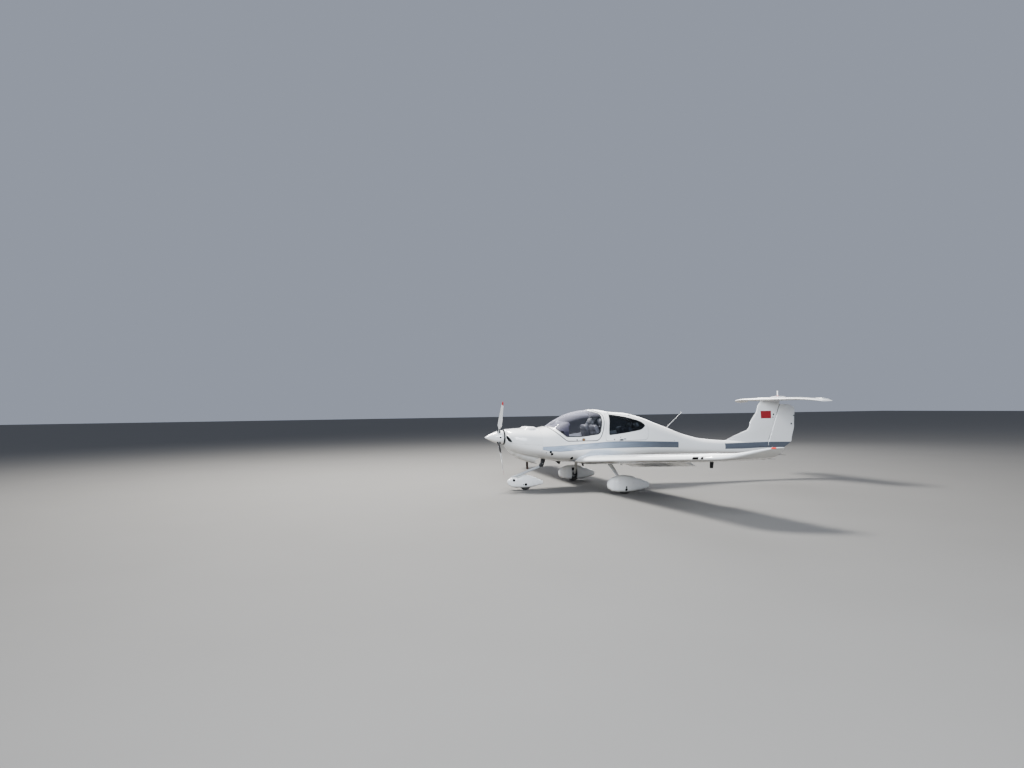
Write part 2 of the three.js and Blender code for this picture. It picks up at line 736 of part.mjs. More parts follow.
// Hinge line of the rudder
const hingeAft = (height) =>
  HINGE_FOOT.aft +
  ((height - HINGE_FOOT.height) * (HINGE_HEAD.aft - HINGE_FOOT.aft)) / (HINGE_HEAD.height - HINGE_FOOT.height);
const RUDDER_NOSE = 42;
const aheadOfRudder = () => {
  const [foot, head] = [500, 2100];
  const back = RUDDER_NOSE + 8;
  const corners = [
    [0, foot, 0],
    [hingeAft(foot) - back, foot, 0],
    [hingeAft(head) - back, head, 0],
    [0, head, 0],
  ];
  return sideSlab(corners, -1000, 1000);
};

function tailBoom() {
  const outer = hull(CABIN_END + SEAT, BOOM_END);
  const inner = hull(CABIN_END - 20, 6900, SKIN.boom);
  return without(outer, inner).intersect(aheadOfRudder());
}

const RUDDER_LUGS = [1040, 1600];
const rudderAcross = new THREE.Vector3(HINGE_HEAD.aft - HINGE_FOOT.aft, 0, HINGE_HEAD.height - HINGE_FOOT.height)
  .normalize()
  .toArray();
const rudderHinge = (height) => [hingeAft(height), 0, height];

function finSolid(tailplaneSolid) {
  const rings = named(FIN_COLUMNS, FIN).map(({ height, lead, half }) => {
    const back = hingeAft(height);
    const shape = [[0, 0], [0.04, 0.3], [0.14, 0.62], [0.32, 0.9], [0.55, 1], [0.8, 0.96], [1, 0.88]];
    const side = (sign) =>
      shape.slice(1).map(([along, wide]) => [blend(lead, back, along), sign * wide * half, height]);
    return [[lead, 0, height], ...side(1), ...side(-1).reverse()];
  });
  const body = loft(rings).intersect(aheadOfRudder());
  const lugs = RUDDER_LUGS.map((height) =>
    lug(rudderHinge(height), rudderAcross, [-1, 0, 0], RUDDER_NOSE + 30),
  );
  const elevatorRoom = box(7505, FAR, -100, 100, 1900, 2500);
  const fuselage = hull(CABIN_END, BOOM_END, -SEAT);
  return without(joined(body.subtract(elevatorRoom), ...lugs), fuselage, moved(tailplaneSolid, 0, 0, -SEAT));
}

function rudder() {
  const rings = named(RUDDER_COLUMNS, RUDDER).map(({ height, trail, half }) =>
    surfaceRing({ hinge: [hingeAft(height), 0, height], radius: half, trail: [trail, 0, height] }, [0, 0, 1]),
  );
  const slots = RUDDER_LUGS.map((height) => lugSlot(rudderHinge(height), rudderAcross, [-1, 0, 0]));
  return without(loft(rings), ...slots);
}

const trailAt = (out) => blend(TAILPLANE_TRAIL.middle, TAILPLANE_TRAIL.tip, out / 1645);
const ELEVATOR_LUGS = [260, 1150];
const elevatorAcross = [0, 1, 0];
const elevatorHeight = 1946;
const BULLET = { aft: 7520, height: 1992, size: [235, 46, 38] };

function tailplane() {
  const rings = (side) =>
    named(TAILPLANE_COLUMNS, TAILPLANE).map(({ out, lead, rise, thick }) =>
      foil(thick, { height: 0, place: 0.4 }).map(([along, up]) => [
        blend(lead, trailAt(out), along),
        side * out,
        rise + up * (trailAt(out) - lead),
      ]),
    );
  const whole = loft([...rings(-1).reverse(), ...rings(1).slice(1)]);
  const front = ELEVATOR.hinge - ELEVATOR.radius - 8;
  const behind = box(front, FAR, -ELEVATOR.to - 8, ELEVATOR.to + 8, 1500, 2500);
  const bullet = solidOf(
    new THREE.SphereGeometry(1, 14, 10).scale(...BULLET.size).translate(BULLET.aft, 0, BULLET.height),
  );
  const lugs = [-1, 1].flatMap((side) =>
    ELEVATOR_LUGS.map((out) =>
      lug([ELEVATOR.hinge, side * out, elevatorHeight], elevatorAcross, [-1, 0, 0], ELEVATOR.radius + 26),
    ),
  );
  const tubeRoom = rod(
    [ELEVATOR.hinge, -130, elevatorHeight],
    [ELEVATOR.hinge, 130, elevatorHeight],
    ELEVATOR.tube + 8,
  );
  return without(joined(without(whole, behind), bullet, ...lugs), tubeRoom);
}

function elevator() {
  const half = (side) =>
    loft(
      [ELEVATOR.from, 1000, ELEVATOR.to].map((out) =>
        surfaceRing(
          {
            hinge: [ELEVATOR.hinge, side * out, elevatorHeight],
            radius: out > 1500 ? 17 : ELEVATOR.radius,
            trail: [trailAt(out), side * out, elevatorHeight - (out > 1500 ? 20 : 0)],
          },
          [0, side, 0],
        ),
      ),
    );
  const tube = rod([ELEVATOR.hinge, -120, elevatorHeight], [ELEVATOR.hinge, 120, elevatorHeight], ELEVATOR.tube);
  const slots = [-1, 1].flatMap((side) =>
    ELEVATOR_LUGS.map((out) => lugSlot([ELEVATOR.hinge, side * out, elevatorHeight], elevatorAcross, [-1, 0, 0])),
  );
  return without(joined(half(-1), half(1), tube), ...slots);
}

// Cabin inside
const FLOOR = { from: 1230, to: 3700, bottom: 560, top: 720 };
const SPAR = { from: 2330, to: 2600, top: 800 };
const CONSOLE = { from: 1830, to: 2300, half: 75, top: 905 };
function cabinFloor() {
  const room = hull(FIREWALL + SKIN.cabin + SEAT, CABIN_END - SKIN.cabin - SEAT, SKIN.cabin + SEAT);
  const floor = room.intersect(box(FLOOR.from, FLOOR.to, -600, 600, FLOOR.bottom, FLOOR.top));
  const spar = room.intersect(box(SPAR.from, SPAR.to, -600, 600, FLOOR.top - 20, SPAR.top));
  const console = box(CONSOLE.from, CONSOLE.to, -CONSOLE.half, CONSOLE.half, FLOOR.top - 20, CONSOLE.top);
  return joined(floor, spar, console);
}

function instrumentPanel() {
  const wall = hull(1400, 2000, SKIN.cabin + SEAT).intersect(
    sideSlab([[1690, 950, 0], [1800, 950, 0], [1800, 1040, 0], [1690, 1040, 0]], -1000, 1000),
  );
  const hood = hull(1400, 2000, 78).intersect(
    sideSlab(
      [
        [1690, 1000, 0],
        [1800, 1000, 0],
        [1815, 1385, 0],
        [1872, 1425, 20],
        [1868, 1482, 30],
        [1775, 1502, 60],
        [1480, 1325, 40],
        [1480, 1290, 0],
        [1690, 1290, 0],
      ],
      -430,
      430,
    ),
  );
  return joined(wall, hood);
}

const SEAT_OUT = 290;
const SEAT_HALF = { front: 215, rear: 420 };
const seatRoom = hull(1700, 3900, SKIN.cabin + 10);
function frontSeat(side) {
  const onSpar = SPAR.top + 1;
  const outline = [
    [1960, FLOOR.top + SEAT, 0],
    [SPAR.from - 10, FLOOR.top + SEAT, 0],
    [SPAR.from - 10, onSpar, 0],
    [2500, onSpar, 0],
    [2680, 1440, 50],
    [2590, 1470, 50],
    [2430, 980, 60],
    [1960, 1000, 60],
  ];
  const middle = side * SEAT_OUT;
  return seatRoom.intersect(sideSlab(outline, middle - SEAT_HALF.front, middle + SEAT_HALF.front));
}

function rearSeat() {
  const outline = [
    [2880, FLOOR.top + SEAT, 0],
    [3360, FLOOR.top + SEAT, 0],
    [3620, 1340, 60],
    [3500, 1380, 50],
    [3270, 990, 60],
    [2860, 1010, 60],
  ];
  return seatRoom.intersect(sideSlab(outline, -SEAT_HALF.rear, SEAT_HALF.rear));
}

// A boot, a stalk and a grip: where each starts and ends, and its radii
const STICK_COLUMNS = ["from", "low", "to", "high", "radius", "end"];
const STICK = [
  [1880, FLOOR.top + SEAT, 1880, 760, 34, 20],
  [1880, 750, 1860, 960, 11, 11],
  [1862, 930, 1850, 1070, 19, 22],
];
const controlStick = (side) =>
  joined(
    ...named(STICK_COLUMNS, STICK).map(({ from, low, to, high, radius, end }) =>
      rod([from, side * SEAT_OUT, low], [to, side * SEAT_OUT, high], radius, end),
    ),
  );

// Undercarriage pieces
const pantRing = ({ aft, top, bottom, half }, out) =>
  between(0, 2 * Math.PI, 20).slice(0, -1).map((angle) => {
    const [c, s] = [Math.cos(angle), Math.sin(angle)];
    const power = 2 / (s >= 0 ? PANT_POWER.above : PANT_POWER.below);
    const [middle, reach] = [(top + bottom) / 2, (top - bottom) / 2];
    return [
      aft,
      out + half * Math.sign(c) * Math.abs(c) ** power,
      middle + reach * Math.sign(s) * Math.abs(s) ** power,
    ];
  });

function wheelRoom({ aft, radius, room }, out) {
  const reach = radius + WHEEL_GAP;
  return joined(
    rod([aft, out - room, radius], [aft, out + room, radius], reach, reach, 28),
    box(aft - reach, aft + reach, out - room, out + room, -50, radius),
  );
}

// A box on one side, between two distances out from the middle
const boxAside = (side, x0, x1, near, far, z0, z1) =>
  box(x0, x1, Math.min(side * near, side * far), Math.max(side * near, side * far), z0, z1);

function mainPant(side) {
  const out = side * MAIN.out;
  const body = loft(named(PANT_COLUMNS, MAIN_PANT).map((row) => pantRing(row, out)));
  const doorway = boxAside(side, 2540, 2690, MAIN.out - 200, MAIN.out - MAIN.room + 5, -50, 330);
  return without(body, wheelRoom(MAIN, out), doorway);
}

function mainLeg(side, wingBody, shell) {
  const rings = named(LEG_COLUMNS, LEG).map(({ out, aft, rise, long, high }) =>
    between(0, 2 * Math.PI, 14).slice(0, -1).map((angle) => [
      aft + long * Math.cos(angle),
      side * out,
      rise + high * Math.sin(angle),
    ]),
  );
  return without(loft(rings), moved(wingBody, 0, 0, -SEAT), shell);
}

function mainAxle(side) {
  const at = (out) => [MAIN.aft, side * out, MAIN.radius];
  const [near, far, radius] = AXLE.flange;
  const thickness = MAIN.bore - SEAT;
  return joined(
    rod(at(near), at(far), radius, radius, 16),
    rod(at(far - 4), at(MAIN.out + MAIN.room - SEAT), thickness, thickness, 16),
    boxAside(side, 2640, 2682, ...AXLE.caliper, 120, 200),
    boxAside(side, 2610, 2650, ...AXLE.arm, 150, 190),
  );
}

function tyre(wheel, out) {
  const { radius, half, rim } = wheel;
  const profile = [
    [rim + SEAT, -half * 0.62],
    [rim + 14, -half * 0.8],
    [rim + 42, -half],
    [radius - 28, -half * 0.94],
    [radius - 5, -half * 0.55],
    [radius, -half * 0.3],
    [radius, half * 0.3],
    [radius - 5, half * 0.55],
    [radius - 28, half * 0.94],
    [rim + 42, half],
    [rim + 14, half * 0.8],
    [rim + SEAT, half * 0.62],
    [rim + SEAT, -half * 0.62],
  ].map(([r, y]) => new THREE.Vector2(r, y));
  return solidOf(new THREE.LatheGeometry(profile, 20).translate(wheel.aft, out, wheel.radius));
}

function rim(wheel, out) {
  const { half, rim: radius, bore } = wheel;
  const profile = [
    [bore, -half * 0.62],
    [bore + 16, -half * 0.62],
    [bore + 18, -half * 0.3],
    [radius - 12, -half * 0.3],
    [radius - 8, -half * 0.6],
    [radius, -half * 0.6],
    [radius, half * 0.6],
    [radius - 8, half * 0.6],
    [radius - 12, half * 0.3],
    [bore + 18, half * 0.3],
    [bore + 16, half * 0.62],
    [bore, half * 0.62],
    [bore, -half * 0.62],
  ].map(([r, y]) => new THREE.Vector2(r, y));
  return solidOf(new THREE.LatheGeometry(profile, 20).translate(wheel.aft, out, wheel.radius));
}

// The pant has a crown room, room for the fork's arms, and on top a fan-shaped slot in which the leg swings.
function nosePant() {
  const body = loft(named(PANT_COLUMNS, NOSE_PANT).map((row) => pantRing(row, 0)));
  const armRoom = NOSE.room + 2 * FORK.arm;
  const ceiling = CASTER.seat + 4;
  const crownRoom = box(FORK.from - 4, FORK.to + 40, -FORK.half - 4, FORK.half + 4, 200, ceiling);
  const armsRoom = box(FORK.from + 20, NOSE.aft + 30, -armRoom, armRoom, 125, ceiling);
  const near = CASTER.radius + GAP + 1;
  const socketRoom = rod([CASTER.aft, 0, CASTER.seat - 4], [CASTER.aft, 0, 420], near, near, 20);
  const slope = (NOSE_LEG.bend[1] - NOSE_LEG.foot[1]) / (NOSE_LEG.bend[0] - NOSE_LEG.foot[0]);
  const floorAt = (aft) => NOSE_LEG.foot[1] + slope * (aft - NOSE_LEG.foot[0]) - NOSE_LEG.radius.foot - 3 * GAP;
  const wedge = sideSlab(
    [
      [CASTER.aft, floorAt(CASTER.aft), 0],
      [CASTER.aft + 280, floorAt(CASTER.aft + 280), 0],
      [CASTER.aft + 280, 420, 0],
      [CASTER.aft, 420, 0],
    ],
    -200,
    200,
  );
  const fan = planSlab(
    [
      [CASTER.aft - 1, -near, 0],
      [CASTER.aft + 279, -near - 160, 0],
      [CASTER.aft + 279, near + 160, 0],
      [CASTER.aft - 1, near, 0],
    ],
    200,
    450,
  );
  return without(body, wheelRoom(NOSE, 0), crownRoom, armsRoom, socketRoom, wedge.intersect(fan));
}

function noseFork() {
  const { from, to, half, thick, arm } = FORK;
  const crown = box(from, to, -half, half, CASTER.seat - thick, CASTER.seat - SEAT);
  const out = NOSE.half + GAP + arm;
  const arms = [-1, 1].map((side) =>
    rod([to - 20, side * out, CASTER.seat - thick / 2], [NOSE.aft, side * out, NOSE.radius], arm, arm, 10),
  );
  const axle = (side) => [NOSE.aft, side * (NOSE.room + 2 * arm - SEAT), NOSE.radius];
  return joined(crown, ...arms, rod(axle(-1), axle(1), NOSE.bore - SEAT, NOSE.bore - SEAT, 16));
}

function noseLeg(shell) {
  const { foot, bend, head, radius, mount } = NOSE_LEG;
  const at = ([aft, height]) => [aft, 0, height];
  const socket = rod([CASTER.aft, 0, CASTER.seat], [CASTER.aft, 0, CASTER.top], CASTER.radius);
  const tube = rod(at(foot), at(bend), radius.foot, radius.bend);
  const elbow = rod([bend[0] - 8, 0, bend[1] - 3], at(head), radius.bend, radius.head);
  const bracket = box(mount.from, mount.to, -mount.half, mount.half, mount.bottom, mount.top);
  return without(joined(socket, tube, elbow, bracket), shell);
}

// Propeller
function propellerSolid() {
  const blade = (angle) =>
    loft(
      named(BLADE_COLUMNS, BLADE).map(({ out, chord, thick, pitch }) => {
        const turn = THREE.MathUtils.degToRad(pitch);
        return between(0, 2 * Math.PI, 10).slice(0, -1).map((a) => {
          const across = (chord / 2) * Math.cos(a);
          const deep = (thick / 2) * Math.sin(a);
          const lateral = across * Math.cos(turn) - deep * Math.sin(turn);
          const along = across * Math.sin(turn) + deep * Math.cos(turn);
          return [
            PROPELLER.aft + along,
            out * Math.cos(angle) - lateral * Math.sin(angle),
            SHAFT_HEIGHT + out * Math.sin(angle) + lateral * Math.cos(angle),
          ];
        });
      }),
    );
  const blades = between(0, 2 * Math.PI, PROPELLER.blades).slice(0, -1).map(blade);
  const { hub: radius } = PROPELLER;
  const hub = rod([230, 0, SHAFT_HEIGHT], [SPINNER.length, 0, SHAFT_HEIGHT], radius, radius, 18);
  return joined(hub, ...blades);
}

function spinnerSolid() {
  const { length, radius, back, tip } = SPINNER;
  const outline = between(0, 1, 6).map((t) => [radius * (1 - (1 - t) ** 1.3) ** 0.85 + 1, t * tip]);
  const profile = [
    [0, 0],
    ...outline.slice(1),
    [radius + 1, back],
    [radius - 12, back],
    [radius - 12, tip - 10],
    [100, 220],
    [70, 160],
    [0, 160],
  ].map(([r, along]) => new THREE.Vector2(r, along));
  const cone = solidOf(
    new THREE.LatheGeometry(profile, 18).rotateZ(-Math.PI / 2).translate(0, 0, SHAFT_HEIGHT),
  );
  const plate = without(
    rod([back - 14, 0, SHAFT_HEIGHT], [back - 2, 0, SHAFT_HEIGHT], radius - 4, radius - 4, 18),
    rod([length - 60, 0, SHAFT_HEIGHT], [length + 60, 0, SHAFT_HEIGHT], PROPELLER.hub + SEAT, PROPELLER.hub + SEAT, 18),
  );
  const bladeRooms = between(0, 2 * Math.PI, PROPELLER.blades).slice(0, -1).map((angle) =>
    rod(
      [PROPELLER.aft, 60 * Math.cos(angle), SHAFT_HEIGHT + 60 * Math.sin(angle)],
      [PROPELLER.aft, 300 * Math.cos(angle), SHAFT_HEIGHT + 300 * Math.sin(angle)],
      48,
    ),
  );
  return without(joined(cone, plate), ...bladeRooms);
}

// Small fittings: outlines in side view, and the places across
const WHIP = { foot: [4395, 0, 1290], tip: [4840, 0, 1680], radius: 5, end: 3 };
const TAIL_POST = { foot: [7500, 0, 1990], tip: [7500, 0, 2160], radius: 17, end: 12 };
const PITOT = { across: [-4912, -4894], outline: [[2566, 796, 0], [2620, 796, 0], [2645, 1000, 0], [2570, 1000, 0]] };
const BELLY_FRONT = { across: [-12, 12], outline: [[1590, 640, 0], [1700, 543, 8], [1728, 543, 8], [1770, 640, 0]] };
const BELLY_REAR = { across: [-26, -14], outline: [[2231, 580, 0], [2275, 467, 6], [2303, 467, 6], [2303, 580, 0]] };
const SKID = {
  across: [-14, 14],
  outline: [[6560, 640, 0], [6700, 540, 20], [6860, 520, 20], [6960, 520, 20], [7040, 640, 0]],
};
const blade = ({ outline, across }, ...cutters) => without(sideSlab(outline, ...across), ...cutters);
const stalk = ({ foot, tip, radius, end }, sides) => rod(foot, tip, radius, end, sides);

// Assembly
const shellCutter = hull(FIREWALL - 200, CABIN_END, -SEAT);
const boomCutter = hull(CABIN_END - 200, BOOM_END, -SEAT);
const wings = { left: wing(-1), right: wing(1) };
const tailplaneBody = tailplane();
const propeller = propellerSolid();
const cowl = cowls();

const pieces = [
  ["cowl_upper", "white_gelcoat", cowl.upper],
  ["cowl_lower", "white_gelcoat", cowl.lower],
  ["engine_block", "engine_metal", engineBlock()],
  ["exhaust_pipe", "exhaust_steel", exhaustPipe()],
  ["cabin_shell", "white_gelcoat", cabinShell()],
  ["tail_boom", "white_gelcoat", tailBoom()],
  ["fin", "white_gelcoat", finSolid(tailplaneBody)],
  ["tailplane", "white_gelcoat", tailplaneBody],
  ["wing_left", "white_gelcoat", wings.left.body],
  ["wing_right", "white_gelcoat", wings.right.body],
  ["cabin_floor", "cabin_trim", cabinFloor()],
  ["instrument_panel", "cabin_trim", instrumentPanel()],
  ["seat_front_left", "seat_leather", frontSeat(-1)],
  ["seat_front_right", "seat_leather", frontSeat(1)],
  ["seat_rear", "seat_leather", rearSeat()],
  ["control_stick_left", "cabin_trim", controlStick(-1)],
  ["control_stick_right", "cabin_trim", controlStick(1)],
  ["window_rear_right", "tinted_glass", pane(DOOR_PANE, 0, 1000, 2500, 3800)],
  ["main_leg_left", "white_gelcoat", mainLeg(-1, wings.left.body, shellCutter)],
  ["main_leg_right", "white_gelcoat", mainLeg(1, wings.right.body, shellCutter)],
  ["main_pant_left", "white_gelcoat", mainPant(-1)],
  ["main_pant_right", "white_gelcoat", mainPant(1)],
  ["main_axle_left", "gear_steel", mainAxle(-1)],
  ["main_axle_right", "gear_steel", mainAxle(1)],
  ["nose_leg", "grey_paint", noseLeg(shellCutter)],
  ["whip_antenna", "white_gelcoat", stalk(WHIP, 8).subtract(boomCutter)],
  ["pitot_blade", "gear_steel", blade(PITOT, moved(wings.left.body, 0, 0, -SEAT))],
  ["tail_post", "white_gelcoat", stalk(TAIL_POST).subtract(moved(tailplaneBody, 0, 0, SEAT))],
  ["belly_antenna_front", "gear_steel", blade(BELLY_FRONT, shellCutter)],
  ["belly_antenna_rear", "gear_steel", blade(BELLY_REAR, moved(wings.left.body, 0, 0, -SEAT), shellCutter)],
  ["tail_skid", "white_gelcoat", blade(SKID, boomCutter)],
  ["propeller", "white_gelcoat", propeller],
  ["spinner", "white_gelcoat", spinnerSolid()],
  ["canopy_frame", "white_gelcoat", canopyFrame()],
  ["canopy_glass", "tinted_glass", pane(CANOPY_PANE, -1000, 1000, 1300, 2700)],
  ["rear_door", "white_gelcoat", rearDoor()],
  ["rear_door_glass", "tinted_glass", pane(DOOR_PANE, -1000, 0, 2500, 3800)],
  ["flap_left", "white_gelcoat", wings.left.flap],
  ["flap_right", "white_gelcoat", wings.right.flap],
  ["aileron_left", "white_gelcoat", wings.left.aileron],
  ["aileron_right", "white_gelcoat", wings.right.aileron],
  ["elevator", "white_gelcoat", elevator()],
  ["rudder", "white_gelcoat", rudder()],
  ["nose_fork", "gear_steel", noseFork()],
  ["nose_pant", "white_gelcoat", nosePant()],
  ["nose_tyre", "tyre_rubber", tyre(NOSE, 0)],
  ["nose_rim", "rim_alloy", rim(NOSE, 0)],
  ["main_tyre_left", "tyre_rubber", tyre(MAIN, -MAIN.out)],
  ["main_rim_left", "rim_alloy", rim(MAIN, -MAIN.out)],
  ["main_tyre_right", "tyre_rubber", tyre(MAIN, MAIN.out)],
  ["main_rim_right", "rim_alloy", rim(MAIN, MAIN.out)],
];

const aircraft = new THREE.Group();
aircraft.position.set(-LENGTH / 2, 0, 0);
for (const [name, paint, solid] of pieces) {
  const [color, roughness, metalness] = PAINTS[paint];
  const material = new THREE.MeshStandardMaterial({ color, roughness, metalness });
  const mesh = new THREE.Mesh(geometryOf(solid), material);
  mesh.name = name;
  aircraft.add(mesh);
}

const root = new THREE.Group();
root.add(aircraft);
export default root;
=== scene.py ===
import json
import math

import bmesh
import bpy
import numpy as np
from mathutils import Matrix, Vector


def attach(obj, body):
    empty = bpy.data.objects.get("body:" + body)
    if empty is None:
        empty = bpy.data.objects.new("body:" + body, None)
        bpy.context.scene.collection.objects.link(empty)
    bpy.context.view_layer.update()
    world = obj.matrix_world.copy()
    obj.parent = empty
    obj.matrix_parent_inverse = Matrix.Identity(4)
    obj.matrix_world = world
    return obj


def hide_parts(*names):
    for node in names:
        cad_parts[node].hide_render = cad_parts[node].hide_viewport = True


# Four-seat low-wing light aircraft: the looks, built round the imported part.
# Tables and shapes are in millimetres: aft of the spinner's tip, out to starboard, up from the ground.
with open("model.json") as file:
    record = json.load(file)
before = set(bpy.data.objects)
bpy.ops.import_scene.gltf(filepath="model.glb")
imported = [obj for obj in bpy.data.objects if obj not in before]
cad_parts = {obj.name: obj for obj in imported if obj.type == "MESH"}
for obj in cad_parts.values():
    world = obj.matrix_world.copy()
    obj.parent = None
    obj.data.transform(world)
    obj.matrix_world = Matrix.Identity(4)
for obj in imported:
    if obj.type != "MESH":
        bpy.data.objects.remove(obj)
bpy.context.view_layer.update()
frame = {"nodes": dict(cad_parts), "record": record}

MIDDLE = 3990.0
GAP = 5.0
SKIN = 35
WIDE = 1000
BEYOND = 8600
FINE = 12
SECTION = 96
FINE_SECTION = 120
COWL_SECTION = 144
SIDES = {"left": -1, "right": 1}

# Hull sections: aft, top, bottom, half, waist, over, under
HULL = np.array([
    [425, 1352, 1003, 196, 1176, 2.0, 2.0],
    [480, 1350, 925, 322, 1150, 2.2, 2.1],
    [600, 1360, 835, 402, 1112, 2.3, 2.2],
    [800, 1368, 765, 455, 1065, 2.4, 2.3],
    [1165, 1364, 698, 512, 1010, 2.4, 2.5],
    [1350, 1395, 655, 543, 992, 2.35, 2.7],
    [1440, 1412, 640, 556, 990, 2.3, 2.8],
    [1550, 1487, 624, 568, 990, 2.2, 2.8],
    [1700, 1572, 606, 580, 995, 2.1, 2.8],
    [1900, 1665, 598, 592, 1000, 2.05, 2.8],
    [2200, 1735, 594, 600, 1005, 2.0, 2.8],
    [2510, 1760, 592, 600, 1005, 2.0, 2.8],
    [2700, 1742, 593, 594, 1002, 2.0, 2.8],
    [2920, 1702, 599, 582, 1000, 2.0, 2.8],
    [3310, 1668, 613, 542, 1000, 2.0, 2.7],
    [3560, 1612, 625, 503, 995, 2.0, 2.6],
    [3820, 1530, 640, 452, 985, 2.0, 2.5],
    [4050, 1440, 645, 402, 970, 2.0, 2.4],
    [4380, 1318, 650, 335, 945, 2.0, 2.3],
    [4820, 1152, 652, 255, 900, 2.0, 2.2],
    [5370, 1022, 648, 190, 850, 2.0, 2.1],
    [6020, 968, 640, 145, 812, 2.0, 2.1],
    [6600, 955, 628, 110, 795, 2.0, 2.1],
    [7100, 945, 612, 72, 780, 2.0, 2.1],
    [7300, 940, 606, 50, 775, 2.0, 2.1],
])
FIREWALL = 1165
CABIN_END = 4200
BOOM_END = 7300

# Outlines in side view: aft, height, corner radius
CANOPY_EDGE = [
    (1352, 1396, 0), (1560, 1194, 200), (1706, 1070, 40), (2450, 1066, 90), (2551, 1217, 120),
    (2644, 1478, 200), (2667, 1600, 60), (2640, 1672, 50), (2500, 1738, 60), (2400, 1800, 60),
    (2380, 1900, 0), (1352, 1900, 0),
]
CANOPY_PANE = [
    (1402, 1401, 0), (1470, 1392, 20), (1574, 1284, 200), (1704, 1172, 30), (2073, 1166, 200),
    (2290, 1196, 150), (2480, 1216, 70), (2545, 1375, 150), (2592, 1524, 100), (2602, 1652, 60),
    (2484, 1698, 60), (2362, 1722, 40), (2335, 1900, 0), (1402, 1900, 0),
]
DOOR_EDGE = [
    (2606, 1062, 60), (2950, 1055, 200), (3680, 1060, 70), (3745, 1200, 100), (3770, 1400, 90),
    (3640, 1900, 0), (2780, 1900, 0), (2740, 1720, 60), (2622, 1250, 200),
]
DOOR_PANE = [
    (2706, 1190, 45), (3100, 1228, 200), (3560, 1294, 80), (3700, 1385, 60), (3600, 1478, 90),
    (3240, 1580, 200), (2990, 1622, 150), (2818, 1640, 20), (2722, 1330, 150),
]
DOOR_HINGE = ((2640, -205, 1712), (3600, -205, 1591))
CANOPY_HINGE = {"aft": 1348, "height": 1405, "radius": 8, "middle": 70, "half": 22}

# Wing sections: out, lead, trail, rise, drop, thick
WING = np.array([
    [0.2, 1975, 3235, 650, 60, 0.16],
    [420, 1975, 3235, 642, 60, 0.16],
    [620, 1985, 3234, 648, 58, 0.155],
    [5280, 2160, 3205, 990, 46, 0.135],
    [5480, 2210, 3208, 1004, 44, 0.125],
    [5680, 2345, 3215, 1026, 24, 0.115],
    [5830, 2600, 3222, 1085, 15, 0.105],
    [5925, 2880, 3222, 1143, 7, 0.095],
    [5970, 3070, 3205, 1168, 0, 0.09],
])
CAMBER = (0.022, 0.4)
FLAP = {"from": 700, "to": 3380, "share": 0.745, "rest": 22, "brackets": (1150, 2050, 2950)}
AILERON = {"from": 3420, "to": 5190, "share": 0.815, "rest": 0, "brackets": (3800, 4750)}

# Tail: height, lead, half of the fin; height, trail, half of the rudder; out, lead, rise, thick
HINGE_FOOT = (7240, 960)
HINGE_HEAD = (7556, 1820)
FIN = np.array([
    [860, 5800, 20], [980, 6020, 22], [1060, 6200, 28], [1140, 6410, 34],
    [1215, 6605, 42], [1330, 6680, 45], [1740, 6900, 40], [1960, 7010, 40],
])
RUDDER = np.array([
    [604, 7440, 34], [730, 7620, 38], [940, 7874, 42], [1310, 7955, 40], [1745, 7980, 33], [1830, 7815, 30],
])
TAILPLANE = np.array([
    [0, 6880, 1952, 0.105], [150, 6915, 1952, 0.1], [1000, 7130, 1955, 0.1], [1480, 7262, 1930, 0.1],
    [1600, 7350, 1908, 0.09], [1645, 7440, 1893, 0.08],
])
TAIL_TRAIL = (7775, 7745)
ELEVATOR = {"hinge": 7548, "height": 1946, "from": 75, "to": 1560, "radius": 21, "tube": 15}
RUDDER_LUGS = (1040, 1600)
ELEVATOR_LUGS = (260, 1150)

# Undercarriage: aft, top, bottom, half
MAIN = {"aft": 2615, "out": 1485, "radius": 180, "half": 72, "rim": 78, "room": 80}
NOSE = {"aft": 915, "out": 0, "radius": 150, "half": 54, "rim": 62, "room": 62}
MAIN_PANT = np.array([
    [2238, 226, 176, 24], [2267, 278, 110, 66], [2342, 342, 62, 102], [2462, 380, 42, 126],
    [2612, 392, 38, 132], [2762, 372, 42, 126], [2942, 312, 66, 98], [3092, 257, 96, 70],
    [3170, 222, 120, 47],
])
NOSE_PANT = np.array([
    [500, 205, 165, 18], [530, 250, 112, 56], [600, 290, 68, 88], [720, 312, 54, 108],
    [820, 326, 50, 117], [920, 330, 50, 119], [1020, 312, 54, 113], [1140, 265, 76, 92],
    [1240, 224, 98, 64], [1315, 190, 112, 40],
])
PANT_POWER = {"above": 2.8, "below": 3.4}
MAIN_LEG = np.array([
    [880, 2492, 700, 54, 39], [1000, 2515, 585, 48, 35], [1180, 2580, 395, 38, 30], [1290, 2602, 275, 31, 26],
    [1365.6, 2615, 196, 27, 26],
])
CASTER = {"aft": 620, "seat": 252, "radius": 34, "top": 310, "room": 40}
NOSE_LEG = [(632, 283, 0), (1150, 472, 90), (1300, 515, 0)]
NOSE_LEG_RADII = [(632, 31), (1150, 27), (1300, 25)]

